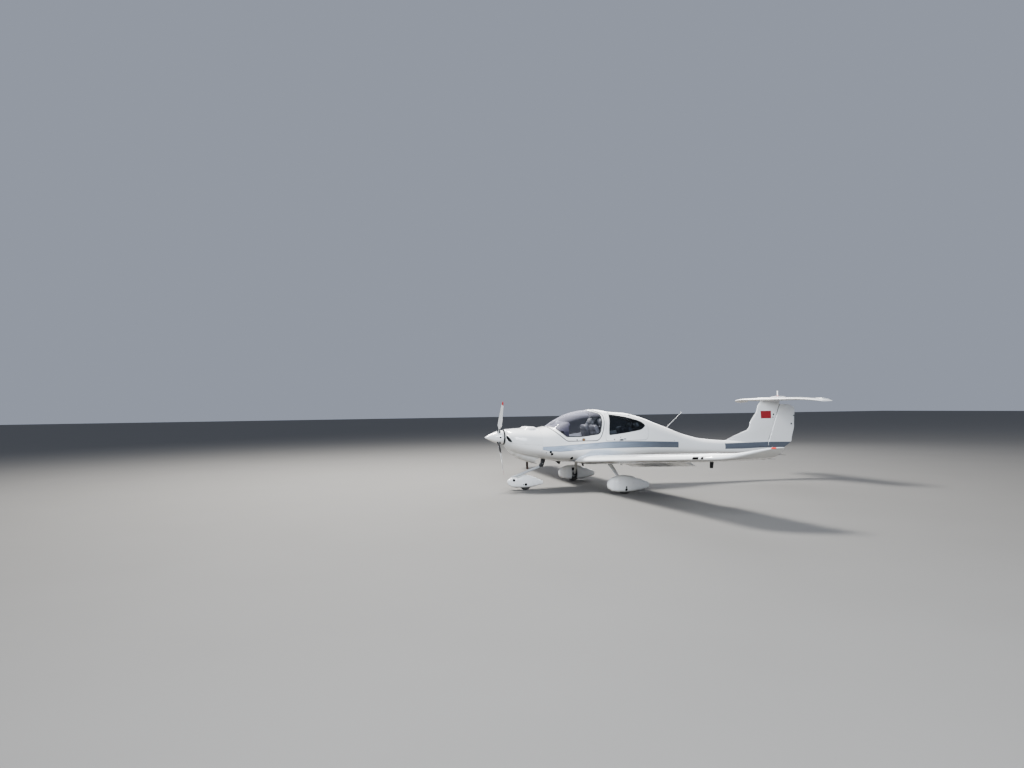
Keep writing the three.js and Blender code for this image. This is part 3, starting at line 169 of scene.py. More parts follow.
# Power plant
SHAFT = 1176
SPINNER_RADIUS = 151
SPINNER_LENGTH = 402
PLUG_AFT = 319
PROPELLER_AFT = 300
BLADE = np.array([
    [60, 88, 60, 60], [190, 96, 48, 50], [310, 104, 34, 40], [440, 108, 24, 31], [570, 98, 18, 25],
    [700, 84, 13, 22], [800, 70, 10, 20], [870, 50, 7, 18], [900, 24, 5, 17],
])
BLADE_ANGLES = (0, 120, 240)
INLET = {"out": 275, "height": 1145, "long": 101, "short": 48, "slope": 0.72}
EXHAUST = {"aft": 1000, "out": 130, "foot": 446, "radius": 25.5}
CHIN = np.array([
    [440, 1003, 30], [480, 934, 70], [530, 856, 140], [620, 774, 190], [740, 702, 218], [860, 645, 228],
    [960, 611, 228], [1110, 572, 214], [1165, 562, 206],
])
COWL_FRONT = 425
COWL_SPLIT = [(0, 1098), (400, 1060), (1200, 985)]
CHIN_SUNK = 70
BUMP = {"aft": 990, "long": 144, "out": 170, "height": 1338, "wide": 112, "high": 66}
CONE = 360

# Cabin and tail
CANOPY_MARKS = (1352, 1392)
CANOPY_REACH = (1340, 2700)
DOOR_REACH = (2560, 3800)
DOOR_TOP = DOOR_HINGE[0][1]
JACK_PAD = {"aft": 2440, "out": 1750}
FIN_MARKS = ((7340, 1578, 21), (7322, 1508, 15))
RUDDER_TABS = ((7892, 1341, 19, 19), (7970, 1540, 8, 12))
# height above which the painted shade in the rudder gap turns from grey to black
SEAL_SHADE_FROM = 1570
WING_WICKS = (5300, 5560, 5800)
ELEVATOR_WICKS = (1240, 1450)

# Undercarriage fittings: aft, height, radius; aft, out, height; aft, height, corner radius
MAIN_PANT_HOLES = ((2612, 98, 29), (2612, 150, 19))
NOSE_PANT_HOLES = ((628, 226, 30), (842, 128, 12), (894, 128, 30))
BRAKE_LINE = (
    (2560, 985, 590), (2592, 1100, 478), (2624, 1240, 325), (2648, 1330, 224), (2656, 1362, 198),
)
NOSE_LEG_MOUNT = [
    (1296, 700, 0), (1376, 700, 0), (1376, 640, 0), (1322, 500, 12), (1236, 492, 10), (1240, 524, 10),
    (1288, 590, 20),
]

# Fuselage fittings: aft, height, radius, share of the height; plates: aft, height, long, high, thick
COWL_FASTENERS = (520, 800, 1080)
FIREWALL_SCREWS = (760, 850, 940, 1060, 1150, 1240, 1310)
SIDE_PORTS = ((1343, 850, 27), (1378, 802, 29), (1250, 835, 10), (1842, 700, 32))
BOOM_MARKS = ((6906, 789, 24, 0.5), (6991, 787, 20, 0.6), (7128, 806, 22, 0.5), (4452, 1010, 8))
DOOR_MARKS = ((2980, 1134, 12), (2822, 1090, 18, 0.7))
CANOPY_MARK = (1932, 1102)
LATCH_RECESS = (2084, 1107, 92, 38, 1.6)
LATCH = (2084, 1108, 66, 56, 7)
DOOR_RECESS = (3000, 1078, 104, 36, 1.4)
DOOR_HANDLE = (3000, 1078, 80, 28, 7)
DOOR_LOCK = (3086, 1094, 66, 28, 2.4)
OIL_DOOR = (690, 210)

# Inside: aft, height, corner radius; grooves: direction, place, width; belt: aft, share out, height
FRONT_SEAT = [
    (1975, 722, 12), (2318, 722, 12), (2318, 803, 12), (2500, 803, 20), (2672, 1390, 40), (2630, 1400, 30),
    (2470, 930, 60), (2400, 880, 40), (1975, 890, 25),
]
REAR_SEAT = [
    (2895, 722, 12), (3360, 722, 12), (3612, 1290, 40), (3560, 1300, 30), (3330, 930, 60), (3260, 880, 40),
    (2895, 890, 25),
]
SEAT_GROOVES = (("y", -0.55, 0.05), ("y", 0.55, 0.05), ("x", -0.2, 0.05), ("x", 0.35, 0.05))
BACK_GROOVES = (
    ("y", -0.5, 0.05), ("y", 0.5, 0.05), ("x", -0.35, 0.04), ("x", 0.1, 0.04), ("x", 0.5, 0.04),
)
BELT = ((2575, 0.75, 1415), (2497, 0.8, 1330), (2425, 0.9, 1120), (2370, 0.6, 1022), (2330, 0.2, 1003))
PANEL_HOOD = [
    (1690, 1000, 0), (1800, 1000, 0), (1815, 1385, 0), (1872, 1425, 20), (1868, 1482, 30), (1775, 1502, 60),
    (1480, 1325, 40), (1480, 1290, 0), (1690, 1290, 0),
]

# Turned fittings of the panel: along, radius
PANEL_FACE = 1803
KNOB = [(0, 9), (10, 8.5), (16, 7.5), (18, 5)]
GAUGE = [(0, 27), (8, 27), (10, 24), (7, 23)]
LEVER_GRIP = [(0, 10), (8, 15), (24, 16), (32, 10)]

# The photograph's camera, in metres and radians, and the studio; lamps: name, place, size, power, tint
CAMERA_AT = Vector((-7.8279, -15.386, 1.8346))
YAW = 0.28296
PITCH = 0.0320834
ROLL = -0.01235
LENS_PIXELS = 722.1826
IMAGE_WIDTH = 1024
SENSOR = 36
FLOOR_REACH = 120
FLOOR_TONES = ((0.112, 0.110, 0.105, 1), (0.125, 0.123, 0.118, 1))
LAMPS = (
    ("key", (-7, 6, 15), 5, 13000, (1, 0.97, 0.92)),
    ("front", (-7, -16, 8), 9, 4300, (0.88, 0.93, 1)),
    ("back", (8, 14, 9), 8, 1500, (1, 1, 1)),
)


# Curves and rings
def curve_through(rows):
    """A smooth curve through a table's rows that never overshoots; takes one place or many."""
    xs = rows[:, 0]
    spans = np.diff(xs)[:, None]
    steps = np.diff(rows, axis=0) / spans
    slopes = np.empty_like(rows)
    slopes[0], slopes[-1] = steps[0], steps[-1]
    before, after = steps[:-1], steps[1:]
    with np.errstate(divide="ignore", invalid="ignore"):
        mean = 2 * before * after / (before + after)
    slopes[1:-1] = np.where(before * after > 0, mean, 0)

    def at(x):
        x = np.atleast_1d(np.asarray(x, float))
        i = np.clip(np.searchsorted(xs, x, side="right") - 1, 0, len(xs) - 2)
        span = spans[i]
        t = np.clip((x - xs[i]) / spans[i, 0], 0, 1)[:, None]
        return (
            rows[i] * (1 + 2 * t) * (1 - t) ** 2
            + slopes[i] * span * t * (1 - t) ** 2
            + rows[i + 1] * t * t * (3 - 2 * t)
            + slopes[i + 1] * span * t * t * (t - 1)
        )

    return at


def straight_through(rows):
    def at(x):
        x = np.atleast_1d(np.asarray(x, float))
        return np.stack([np.interp(x, rows[:, 0], rows[:, c]) for c in range(rows.shape[1])], axis=1)

    return at


hull_at = curve_through(HULL)
wing_straight = straight_through(WING)
wing_tip = curve_through(WING[3:])


def wing_at(out):
    out = np.atleast_1d(np.asarray(out, float))
    return np.where((out < WING[3, 0])[:, None], wing_straight(out), wing_tip(out))


def stations(low, high, step, marks=()):
    even = np.linspace(low, high, max(2, int(round((high - low) / step)) + 1))
    marks = [m for m in marks if low < m < high]
    return np.unique(np.concatenate([even, marks]))


def columns(aft, out, height):
    """Points from their three measures, each one number or many."""
    return np.stack(np.broadcast_arrays(aft, out, height), axis=1).astype(float)


def circle(sides):
    angle = np.linspace(0, 2 * np.pi, sides, endpoint=False)
    return np.cos(angle), np.sin(angle)


def egg(aft, out, half, waist, above, below, over, under, sides):
    """A section of two half superellipses that meet at the waist."""
    c, s = circle(sides)
    power = 2 / np.where(s >= 0, over, under)
    y = out + half * np.sign(c) * np.abs(c) ** power
    z = waist + np.where(s >= 0, above, below) * np.sign(s) * np.abs(s) ** power
    return columns(aft, y, z)


def egg_out(half, share, power):
    """How far out a superellipse lies at a share of its height."""
    return half * (1 - min(1.0, share) ** power) ** (1 / power)


def hull_rings(places, inset=0.0, sides=SECTION):
    return np.array([
        egg(aft, 0, half - inset, waist, top - inset - waist, waist - bottom - inset, over, under, sides)
        for aft, top, bottom, half, waist, over, under in hull_at(places)
    ])


def hull_out(aft, height):
    """How far out the hull's side lies at a height."""
    _, top, bottom, half, waist, over, under = hull_at(aft)[0]
    power, reach = (over, top - waist) if height >= waist else (under, waist - bottom)
    return egg_out(half, abs(height - waist) / reach, power)


def on_hull(aft, height, side, lift=0.0, step=4):
    """A point of the hull's side and its outward normal."""
    here, ahead, above = (
        np.array([x, hull_out(x, z), z])
        for x, z in ((aft, height), (aft + step, height), (aft, height + step))
    )
    normal = np.cross(above - here, ahead - here)
    normal *= np.sign(normal[1]) / np.linalg.norm(normal)
    mirror = np.array([1, side, 1])
    return (here + normal * lift) * mirror, normal * mirror


def on_roof(aft, out, lift=0.0):
    _, top, _, half, waist, over, _ = hull_at(aft)[0]
    return np.array([aft, out, waist + egg_out(top - waist, abs(out) / half, over) + lift])


# Meshes
def placed(name, data):
    obj = bpy.data.objects.new(name, data)
    bpy.context.scene.collection.objects.link(obj)
    return obj


def build(name, points, faces):
    """A closed mesh from points in millimetres."""
    mesh = bpy.data.meshes.new(name)
    places = (np.asarray(points, float).reshape(-1, 3) - [MIDDLE, 0, 0]) / 1000
    mesh.from_pydata(places.tolist(), [], [list(map(int, f)) for f in faces])
    work = bmesh.new()
    work.from_mesh(mesh)
    bmesh.ops.remove_doubles(work, verts=work.verts, dist=1e-6)
    bmesh.ops.recalc_face_normals(work, faces=work.faces)
    work.to_mesh(mesh)
    work.free()
    return placed(name, mesh)


def loft(name, rings):
    """A closed skin through rings of points, flat at both ends."""
    rings = np.asarray(rings, float)
    n, m = rings.shape[:2]
    faces = [
        (i * m + j, i * m + (j + 1) % m, (i + 1) * m + (j + 1) % m, (i + 1) * m + j)
        for i in range(n - 1) for j in range(m)
    ]
    faces += [range(m)[::-1], range((n - 1) * m, n * m)]
    return build(name, rings, faces)


def join(name, objects):
    """Several meshes become one; each keeps its own materials."""
    work = bmesh.new()
    slots = []
    for obj in objects:
        start = len(work.faces)
        work.from_mesh(obj.data)
        work.faces.ensure_lookup_table()
        names = list(obj.data.materials)
        for face in work.faces[start:]:
            material = names[face.material_index] if names else None
            if material not in slots:
                slots.append(material)
            face.material_index = slots.index(material)
    mesh = bpy.data.meshes.new(name)
    work.to_mesh(mesh)
    work.free()
    for material in filter(None, slots):
        mesh.materials.append(material)
    made = placed(name, mesh)
    for obj in objects:
        bpy.data.objects.remove(obj)
    return made


def applied(obj):
    """The object with its modifiers made part of its mesh."""
    mesh = bpy.data.meshes.new_from_object(obj.evaluated_get(bpy.context.evaluated_depsgraph_get()))
    mesh.name = obj.name
    obj.modifiers.clear()
    obj.data = mesh
    return obj


def combined(obj, others, operation="DIFFERENCE"):
    """The solid after others are cut from it, joined to it or kept in common."""
    for other in others:
        change = obj.modifiers.new("cut", "BOOLEAN")
        change.operation = operation
        change.solver = "MANIFOLD"
        change.object = other
    applied(obj)
    for other in others:
        bpy.data.objects.remove(other)
    return obj


def bevelled(obj, width):
    change = obj.modifiers.new("soft", "BEVEL")
    change.width = width / 1000
    change.segments = 2
    change.limit_method = "ANGLE"
    change.angle_limit = math.radians(40)
    return applied(obj)


def rounded(corners, steps=7):
    """Points of an outline whose corners, given as two measures and a radius or as two, are rounded."""
    points = []
    for i, (a, b, *radius) in enumerate(corners):
        here = np.array([a, b], float)
        if not any(radius):
            points.append(here)
            continue
        ends = []
        for near in (corners[i - 1], corners[(i + 1) % len(corners)]):
            away = np.array(near[:2], float) - here
            length = np.linalg.norm(away)
            ends.append(here + away / length * min(radius[0], length * 0.49))
        points += [
            (1 - t) ** 2 * ends[0] + 2 * t * (1 - t) * here + t * t * ends[1]
            for t in np.linspace(0, 1, steps)
        ]
    return np.array(points)


def grown(corners, out):
    """The same outline with its edges moved out."""
    moved = []
    for i, (a, b, radius) in enumerate(corners):
        ahead = corners[(i + 1) % len(corners)]
        behind = corners[i - 1]
        first = np.array([b - behind[1], behind[0] - a], float)
        second = np.array([ahead[1] - b, a - ahead[0]], float)
        first /= np.linalg.norm(first)
        second /= np.linalg.norm(second)
        shift = (first + second) * out / (1 + first @ second)
        moved.append((a + shift[0], b + shift[1], radius))
    return moved


def side_prism(name, corners, y0, y1, steps=7):
    flat = rounded(corners, steps)
    return loft(name, [columns(flat[:, 0], y, flat[:, 1]) for y in (y0, y1)])


def plan_prism(name, corners, z0, z1):
    flat = rounded(corners)
    return loft(name, [columns(flat[:, 0], flat[:, 1], z) for z in (z0, z1)])


def box(name, x0, x1, y0, y1, z0, z1, soft=0.0):
    obj = plan_prism(name, [(x0, y0), (x1, y0), (x1, y1), (x0, y1)], z0, z1)
    return bevelled(obj, soft) if soft else obj


def centred_box(name, centre, half, soft=0.0):
    """A box from its centre and its half sizes."""
    return box(name, *(c + sign * h for c, h in zip(centre, half) for sign in (-1, 1)), soft)


def directions(path):
    """The unit direction of a path at each of its points."""
    along = np.gradient(path, axis=0)
    return along / np.linalg.norm(along, axis=1)[:, None]


def squared(u, w):
    """The part of u square to w, and the direction square to both."""
    u = u - w * (u @ w)
    u /= np.linalg.norm(u)
    return u, np.cross(w, u)


def frame_of(direction):
    w = np.asarray(direction, float)
    w = w / np.linalg.norm(w)
    helper = np.array([0, 0, 1.0]) if abs(w[2]) < 0.9 else np.array([1.0, 0, 0])
    u = np.cross(helper, w)
    u /= np.linalg.norm(u)
    return u, np.cross(w, u), w


def tube(name, path, radius, sides=12):
    """A round bar along a path; the radius can change along it."""
    path = np.asarray(path, float)
    radii = np.broadcast_to(np.asarray(radius, float), (len(path),))
    along = directions(path)
    u = frame_of(along[0])[0]
    c, s = circle(sides)
    rings = []
    for point, w, r in zip(path, along, radii):
        u, v = squared(u, w)
        rings.append(point + r * (np.outer(c, u) + np.outer(s, v)))
    return loft(name, rings)


def lathe(name, profile, centre, direction, sides=48):
    """A turned solid: along, radius, round a line."""
    u, v, w = frame_of(direction)
    c, s = circle(sides)
    around = np.outer(c, u) + np.outer(s, v)
    rings = [np.asarray(centre, float) + w * along + max(radius, 0.05) * around for along, radius in profile]
    return loft(name, rings)


def disc(name, centre, normal, radius, thick, sides=20):
    soft = thick / 4
    profile = [(0, radius), (thick - soft, radius), (thick, radius - soft * 1.5)]
    return lathe(name, profile, centre, normal, sides)


def patch(place, radius, high=1.0, lift=1.2, sides=22):
    """A thin round mark whose points all lie on a curved skin; place(across, up, lift) gives a point."""
    c, s = circle(sides)
    return loft("patch", [
        [place(radius * share * x, radius * share * high * z, up) for x, z in zip(c, s)]
        for share, up in ((0.03, lift), (0.5, lift), (0.93, lift), (1.0, lift * 0.5), (1.0, -2.0))
    ])


def hull_patch(aft, height, side, radius, high=1.0):
    return patch(lambda a, b, up: on_hull(aft + a, height + b, side, up)[0], radius, high)


def shell(name, low, high, outer, inner, step=40, sides=SECTION, marks=()):
    """The hull's skin between two depths, open at both ends."""
    skin = loft(name, hull_rings(stations(low, high, step, marks), outer, sides))
    hollow = loft(name + "_hollow", hull_rings(stations(low - 30, high + 30, step, marks), inner, sides))
    return combined(skin, [hollow])


def band(name, outline, wide_out, wide_in, outer, inner, reach, y0, y1):
    """A strip that follows an outline over the hull, between two depths."""
    strip = shell(name, *reach, outer, inner)
    strip = combined(strip, [side_prism("a", grown(outline, wide_out), y0, y1)], "INTERSECT")
    return combined(strip, [side_prism("b", grown(outline, -wide_in), y0 * 1.1, y1 * 1.1)])


# Materials
class Paint:
    """A material's nodes, added one at a time."""

    def __init__(self, name, roughness=0.4, metallic=0.0, coat=0.0):
        self.material = bpy.data.materials.new(name)
        self.material.use_nodes = True
        self.tree = self.material.node_tree
        self.shader = self.tree.nodes["Principled BSDF"]
        self.set("Roughness", roughness)
        self.set("Metallic", metallic)
        self.set("Coat Weight", coat)
        self.set("Coat Roughness", 0.04)
        source = self.add("TexCoord")
        self.place, self.normal = source.outputs["Object"], source.outputs["Normal"]
        self.x, self.y, self.z = self.split(self.place)

    def add(self, kind, **settings):
        node = self.tree.nodes.new("ShaderNode" + kind)
        for name, value in settings.items():
            setattr(node, name, value)
        return node

    def link(self, source, target):
        if hasattr(source, "is_linked"):
            self.tree.links.new(source, target)
        else:
            target.default_value = source

    def fed(self, node, values):
        """The node with its inputs linked or set: by place from a list, by name from a table."""
        pairs = values.items() if isinstance(values, dict) else enumerate(values)
        for key, value in pairs:
            self.link(value, node.inputs[key])
        return node

    def set(self, socket, value):
        self.link(value, self.shader.inputs[socket])

    def split(self, vector):
        return self.fed(self.add("SeparateXYZ"), [vector]).outputs

    def math(self, operation, *values):
        return self.fed(self.add("Math", operation=operation), values).outputs[0]

    def times(self, product, *others):
        for value in others:
            product = self.math("MULTIPLY", product, value)
        return product

    def minus(self, a, b):
        return self.math("SUBTRACT", a, b)

    def ramp(self, value, low, high, to_low=0.0, to_high=1.0):
        return self.fed(self.add("MapRange"), {
            "Value": value, "From Min": low, "From Max": high, "To Min": to_low, "To Max": to_high,
        }).outputs[0]

    def inside(self, value, low, high, edge=0.0015):
        rise = self.ramp(self.minus(value, low), -edge, edge)
        fall = self.ramp(self.minus(value, high), -edge, edge, 1.0, 0.0)
        return self.times(rise, fall)

    def line(self, points):
        """Height of a line through points, as it runs aft."""
        xs, zs = np.array(points).T - [[MIDDLE / 1000], [0]]
        low, high = min(zs), max(zs)
        node = self.add("ValToRGB")
        stops = node.color_ramp.elements
        while len(stops) < len(points):
            stops.new(0.5)
        for stop, x, z in zip(stops, xs, zs):
            stop.position = (x - xs[0]) / (xs[-1] - xs[0])
            stop.color = [(z - low) / (high - low)] * 3 + [1]
        self.link(self.ramp(self.x, xs[0], xs[-1]), node.inputs[0])
        return self.ramp(node.outputs[0], 0.0, 1.0, low, high)

    def noise(self, scale, detail=3.0, rough=0.5, stretch=(1, 1, 1)):
        spread = self.fed(self.add("Mapping"), {"Vector": self.place, "Scale": stretch})
        return self.fed(self.add("TexNoise"), {
            "Vector": spread.outputs[0], "Scale": scale, "Detail": detail, "Roughness": rough,
        }).outputs["Fac"]

    def mix(self, share, a, b):
        return self.fed(self.add("Mix", data_type="RGBA"), {0: share, 6: a, 7: b}).outputs[2]

    def blend(self, share, under, over):
        """One shader over another."""
        return self.fed(self.add("MixShader"), [share, under.outputs[0], over.outputs[0]])

    def bump(self, height, strength, distance=0.001):
        values = {"Height": height, "Strength": strength, "Distance": distance}
        self.set("Normal", self.fed(self.add("Bump"), values).outputs[0])

    def colour(self, value):
        self.set("Base Color", value)
        if not hasattr(value, "is_linked"):
            self.material.diffuse_color = value


WHITE = (0.83, 0.845, 0.85, 1)
DUST = (0.55, 0.52, 0.45, 1)
# painted shade and painted reflection of the ground, laid on faces turned down
UNDERSIDE_SHADE = (0.26, 0.205, 0.125, 1)
BAND_BLUE = (0.21, 0.26, 0.335, 1)
BAND_DARK = (0.06, 0.07, 0.09, 1)
BAND_PALE = (0.39, 0.48, 0.61, 1)
RED = (0.48, 0.012, 0.015, 1)
FIELD_RED = (0.27, 0.005, 0.01, 1)
BLACK = (0.014, 0.014, 0.016, 1)
# painted reflection of the sky on the top of the glazing
SHEEN = (0.70, 0.70, 0.86, 1)

# The fuselage band's two edges and the pale sweep over the wing root: metres aft, metres up
BAND_TOP = [
    (1.165, 0.968), (1.45, 0.975), (1.75, 0.995), (2.03, 1.009), (2.34, 1.028), (2.62, 1.045),
    (2.98, 1.047), (3.35, 1.038), (3.85, 1.018), (4.57, 0.986), (5.90, 0.906), (7.16, 0.909), (7.90, 0.892),
]
BAND_FOOT = [
    (1.165, 0.898), (1.33, 0.866), (1.56, 0.85), (1.82, 0.867), (2.07, 0.884), (2.33, 0.891),
    (2.62, 0.899), (2.98, 0.896), (3.35, 0.892), (3.85, 0.879), (4.57, 0.848), (5.90, 0.771), (6.39, 0.762),
    (6.90, 0.772), (7.90, 0.756),
]
SWEEP_TOP = [(1.80, 0.60), (2.27, 0.885), (2.61, 0.896), (3.2, 0.80), (4.2, 0.72)]

# Stretches of the livery, from the part's middle and up from the ground, in metres
BAND_REACH = (-2.821, 3.92)
BARE = (0.58, 1.905)
PALE_TO_BLUE = (-2.2, -1.2)
BLUE_TO_DARK = (-1.3, 0.1)
SWEEP_START = (-2.18, -2.05)
SWEEP_END = (-0.6, -1.3)
FIELD_AFT = (2.99, 3.28)
FIELD_UP = (1.482, 1.668)

# The blades' paint and their painted shade: reach of the red tip, of the black and of the shaded root, in
# metres, and the mean angle of the back
RED_TIP = (0.815, 1.0)
BLACK_END = (0.41, 0.38)
# painted shade: near the spinner the blades are black all round
ROOT_SHADE = (0.17, 0.32)
BLADE_TURN = math.radians(48)


def gelcoat(name, dust=0.05):
    """Glossy white with a little dust in clouds, and painted shade where it faces down: a patchy brown
    standing for shadow and the ground's reflection.
    """
    paint = Paint(name, 0.16, 0.0, 0.6)
    paint.base = paint.mix(paint.ramp(paint.noise(2.2, 5, 0.6), 0.45, 0.75, 0.0, dust), WHITE, DUST)
    # painted shade: faces turned to the ground go brown in patches, standing for shadow and the ground's
    # reflection
    under = paint.ramp(paint.split(paint.normal)[2], -0.3, -0.9, 0.0, 0.8)
    patchy = paint.ramp(paint.noise(1.6, 6, 0.65, (0.35, 1.6, 1)), 0.3, 0.7, 0.35, 1.0)
    paint.base = paint.mix(paint.times(under, patchy), paint.base, UNDERSIDE_SHADE)
    paint.set("Roughness", paint.ramp(paint.noise(9.0, 4), 0.3, 0.7, 0.13, 0.24))
    paint.bump(paint.noise(55.0, 2), 0.06, 0.0006)
    return paint


def livery():
    """White gelcoat with the blue-grey band of fine streaks along the side and the red field on the fin."""
    paint = gelcoat("white_gelcoat_banded")
    top, foot, sweep = (paint.line(table) for table in (BAND_TOP, BAND_FOOT, SWEEP_TOP))
    share = paint.math("DIVIDE", paint.minus(paint.z, foot), paint.minus(top, foot))
    clothed = paint.minus(1.0, paint.inside(paint.x, *BARE))
    mask = paint.times(paint.inside(share, 0.0, 1.0, 0.012), paint.inside(paint.x, *BAND_REACH), clothed)
    streak = paint.times(paint.noise(3.0, 4, 0.65, (0.45, 0.2, 34)), 9.0)
    wave = paint.math("SINE", paint.math("MULTIPLY_ADD", share, 40.0, streak))
    tone = paint.mix(paint.ramp(paint.x, *PALE_TO_BLUE), BAND_PALE, BAND_BLUE)
    tone = paint.mix(paint.ramp(paint.x, *BLUE_TO_DARK, 0.0, 0.85), tone, BAND_DARK)
    tone = paint.mix(paint.ramp(wave, 0.0, 1.0, 0.0, 0.55), tone, BAND_DARK)
    rims = paint.math("MAXIMUM", paint.ramp(share, 0.9, 0.97), paint.ramp(share, 0.1, 0.02))
    tone = paint.mix(paint.times(rims, 0.6), tone, BAND_DARK)
    below = paint.ramp(paint.minus(sweep, paint.z), -0.004, 0.03)
    fade = paint.times(paint.ramp(paint.x, *SWEEP_END), paint.ramp(paint.x, *SWEEP_START), 0.55)
    base = paint.mix(paint.times(below, fade), paint.base, BAND_PALE)
    base = paint.mix(mask, base, tone)
    field = paint.times(paint.inside(paint.x, *FIELD_AFT), paint.inside(paint.z, *FIELD_UP))
    paint.colour(paint.mix(field, base, FIELD_RED))
    return paint.material


def plain_white():
    paint = gelcoat("white_gelcoat")
    paint.colour(paint.base)
    return paint.material


def dusty_white():
    paint = gelcoat("white_gelcoat_dusty", 0.3)
    low = paint.ramp(paint.z, 0.30, 0.06, 0.0, 0.55)
    speck = paint.ramp(paint.noise(40.0, 6, 0.7), 0.5, 0.72)
    paint.colour(paint.mix(paint.times(low, speck), paint.base, DUST))
    return paint.material


def blade_paint():
    """White, with a red tip, matt black on the inner part of the back, and black all round near the root as
    painted shade.
    """
    paint = gelcoat("propeller_paint")
    height = paint.minus(paint.z, SHAFT / 1000)
    reach = paint.math("SQRT", paint.math("ADD", paint.times(paint.y, paint.y), paint.times(height, height)))
    normal = paint.split(paint.normal)
    across = paint.minus(paint.times(normal[1], height), paint.times(normal[2], paint.y))
    sideways = paint.times(paint.math("DIVIDE", across, reach), math.sin(BLADE_TURN))
    facing = paint.math("MULTIPLY_ADD", normal[0], math.cos(BLADE_TURN), sideways)
    # painted shade at the root: every face there is pushed to black
    facing = paint.math("ADD", facing, paint.ramp(reach, *ROOT_SHADE, 0.75, 0.0))
    behind = paint.times(paint.ramp(facing, -0.06, 0.02), paint.ramp(reach, *BLACK_END))
    base = paint.mix(behind, paint.base, BLACK)
    paint.colour(paint.mix(paint.inside(reach, *RED_TIP), base, RED))
    return paint.material


def simple(name, colour, roughness, metallic=0.0, coat=0.0, grain=30.0, relief=0.1, depth=0.0008):
    """One tone that varies by a quarter, with a fine grain."""
    paint = Paint(name, roughness, metallic, coat)
    darker = tuple(v * 0.75 for v in colour) + (1,)
    paint.colour(paint.mix(paint.noise(7.0, 5, 0.6), darker, (*colour, 1)))
    low, high = roughness * 0.8, min(1.0, roughness * 1.25)
    paint.set("Roughness", paint.ramp(paint.noise(grain * 0.5, 4), 0.3, 0.7, low, high))
    paint.bump(paint.noise(grain, 5, 0.6), relief, depth)
    return paint.material


def glass(name, tint, haze=0.03, sheen=0.0):
    """Thin tinted glazing that mirrors a little; its top has a pale painted sheen, a diffuse layer standing
    for the sky's reflection.
    """
    paint = Paint(name)
    paint.tree.nodes.remove(paint.shader)
    front = paint.add("NewGeometry")
    facing = paint.minus(1.0, front.outputs["Backfacing"])
    shine = paint.times(paint.fed(paint.add("Fresnel"), {"IOR": 1.25}).outputs[0], facing)
    patchy = paint.ramp(paint.noise(5.0, 2), 0.0, 1.0, haze * 0.5, haze * 2.0)
    through = paint.fed(paint.add("BsdfTransparent"), [(*tint, 1)])
    mirror = paint.fed(paint.add("BsdfGlossy"), {"Roughness": patchy})
    # painted reflection: a pale diffuse layer on upward faces stands for the sky mirrored there
    sheen_layer = paint.fed(paint.add("BsdfDiffuse"), [SHEEN])
    upward = paint.ramp(paint.split(front.outputs["Normal"])[2], 0.7, 1.0, 0.0, sheen)
    sheened = paint.blend(paint.times(upward, facing), paint.blend(shine, through, mirror), sheen_layer)
    paint.link(sheened.outputs[0], paint.tree.nodes["Material Output"].inputs["Surface"])
    paint.material.diffuse_color = (0.2, 0.25, 0.28, 0.4)
    return paint.material


def glow(name, colour, strength):
    paint = Paint(name, 0.15, 0.0, 0.5)
    paint.colour(colour)
    paint.set("Emission Color", colour)
    paint.set("Emission Strength", strength)
    paint.bump(paint.noise(90.0, 2), 0.1, 0.0005)
    return paint.material


banded = livery()
white = plain_white()
dusty = dusty_white()
blades = blade_paint()
tinted = glass("tinted_glass", (0.60, 0.63, 0.66))
canopy_clear = glass("canopy_clear", (0.90, 0.905, 0.93), sheen=0.28)
red_lens = glow("red_lens", (0.75, 0.03, 0.015, 1), 0.35)
green_lens = glow("green_lens", (0.02, 0.5, 0.09, 1), 0.2)
# painted shade: a flat black that gives back no light, laid on where holes, ports, recesses and lamps show
# dark
hole_shade = simple("hole_shade", (0.003, 0.003, 0.003), 1.0, relief=0.02)
hole_shade.node_tree.nodes["Principled BSDF"].inputs["Specular IOR Level"].default_value = 0.0
rubber = simple("seal_rubber", (0.02, 0.02, 0.021), 0.65, grain=60)
tyre_rubber = simple("tyre_rubber", (0.035, 0.034, 0.033), 0.8, grain=120, relief=0.25)
trim = simple("cabin_trim", (0.035, 0.038, 0.05), 0.75, grain=160, relief=0.35)
hood_trim = simple("hood_trim", (0.022, 0.021, 0.045), 0.6, grain=160, relief=0.3)
lining = simple("cabin_lining", (0.58, 0.585, 0.60), 0.85, grain=140, relief=0.3)
carpet = simple("cabin_carpet", (0.055, 0.058, 0.065), 0.95, grain=260, relief=0.8, depth=0.002)
leather = simple("seat_leather", (0.085, 0.088, 0.1), 0.45, grain=190, relief=0.5)
leather_light = simple("seat_leather_light", (0.24, 0.245, 0.25), 0.5, grain=190, relief=0.5)
webbing = simple("belt_webbing", (0.03, 0.032, 0.036), 0.8, grain=300, relief=0.7)
alloy = simple("rim_alloy", (0.62, 0.63, 0.64), 0.3, 0.9, grain=50)
steel = simple("gear_steel", (0.02, 0.021, 0.023), 0.42, 0.3, grain=70)
grey = simple("grey_paint", (0.42, 0.44, 0.46), 0.35, 0.0, 0.3)
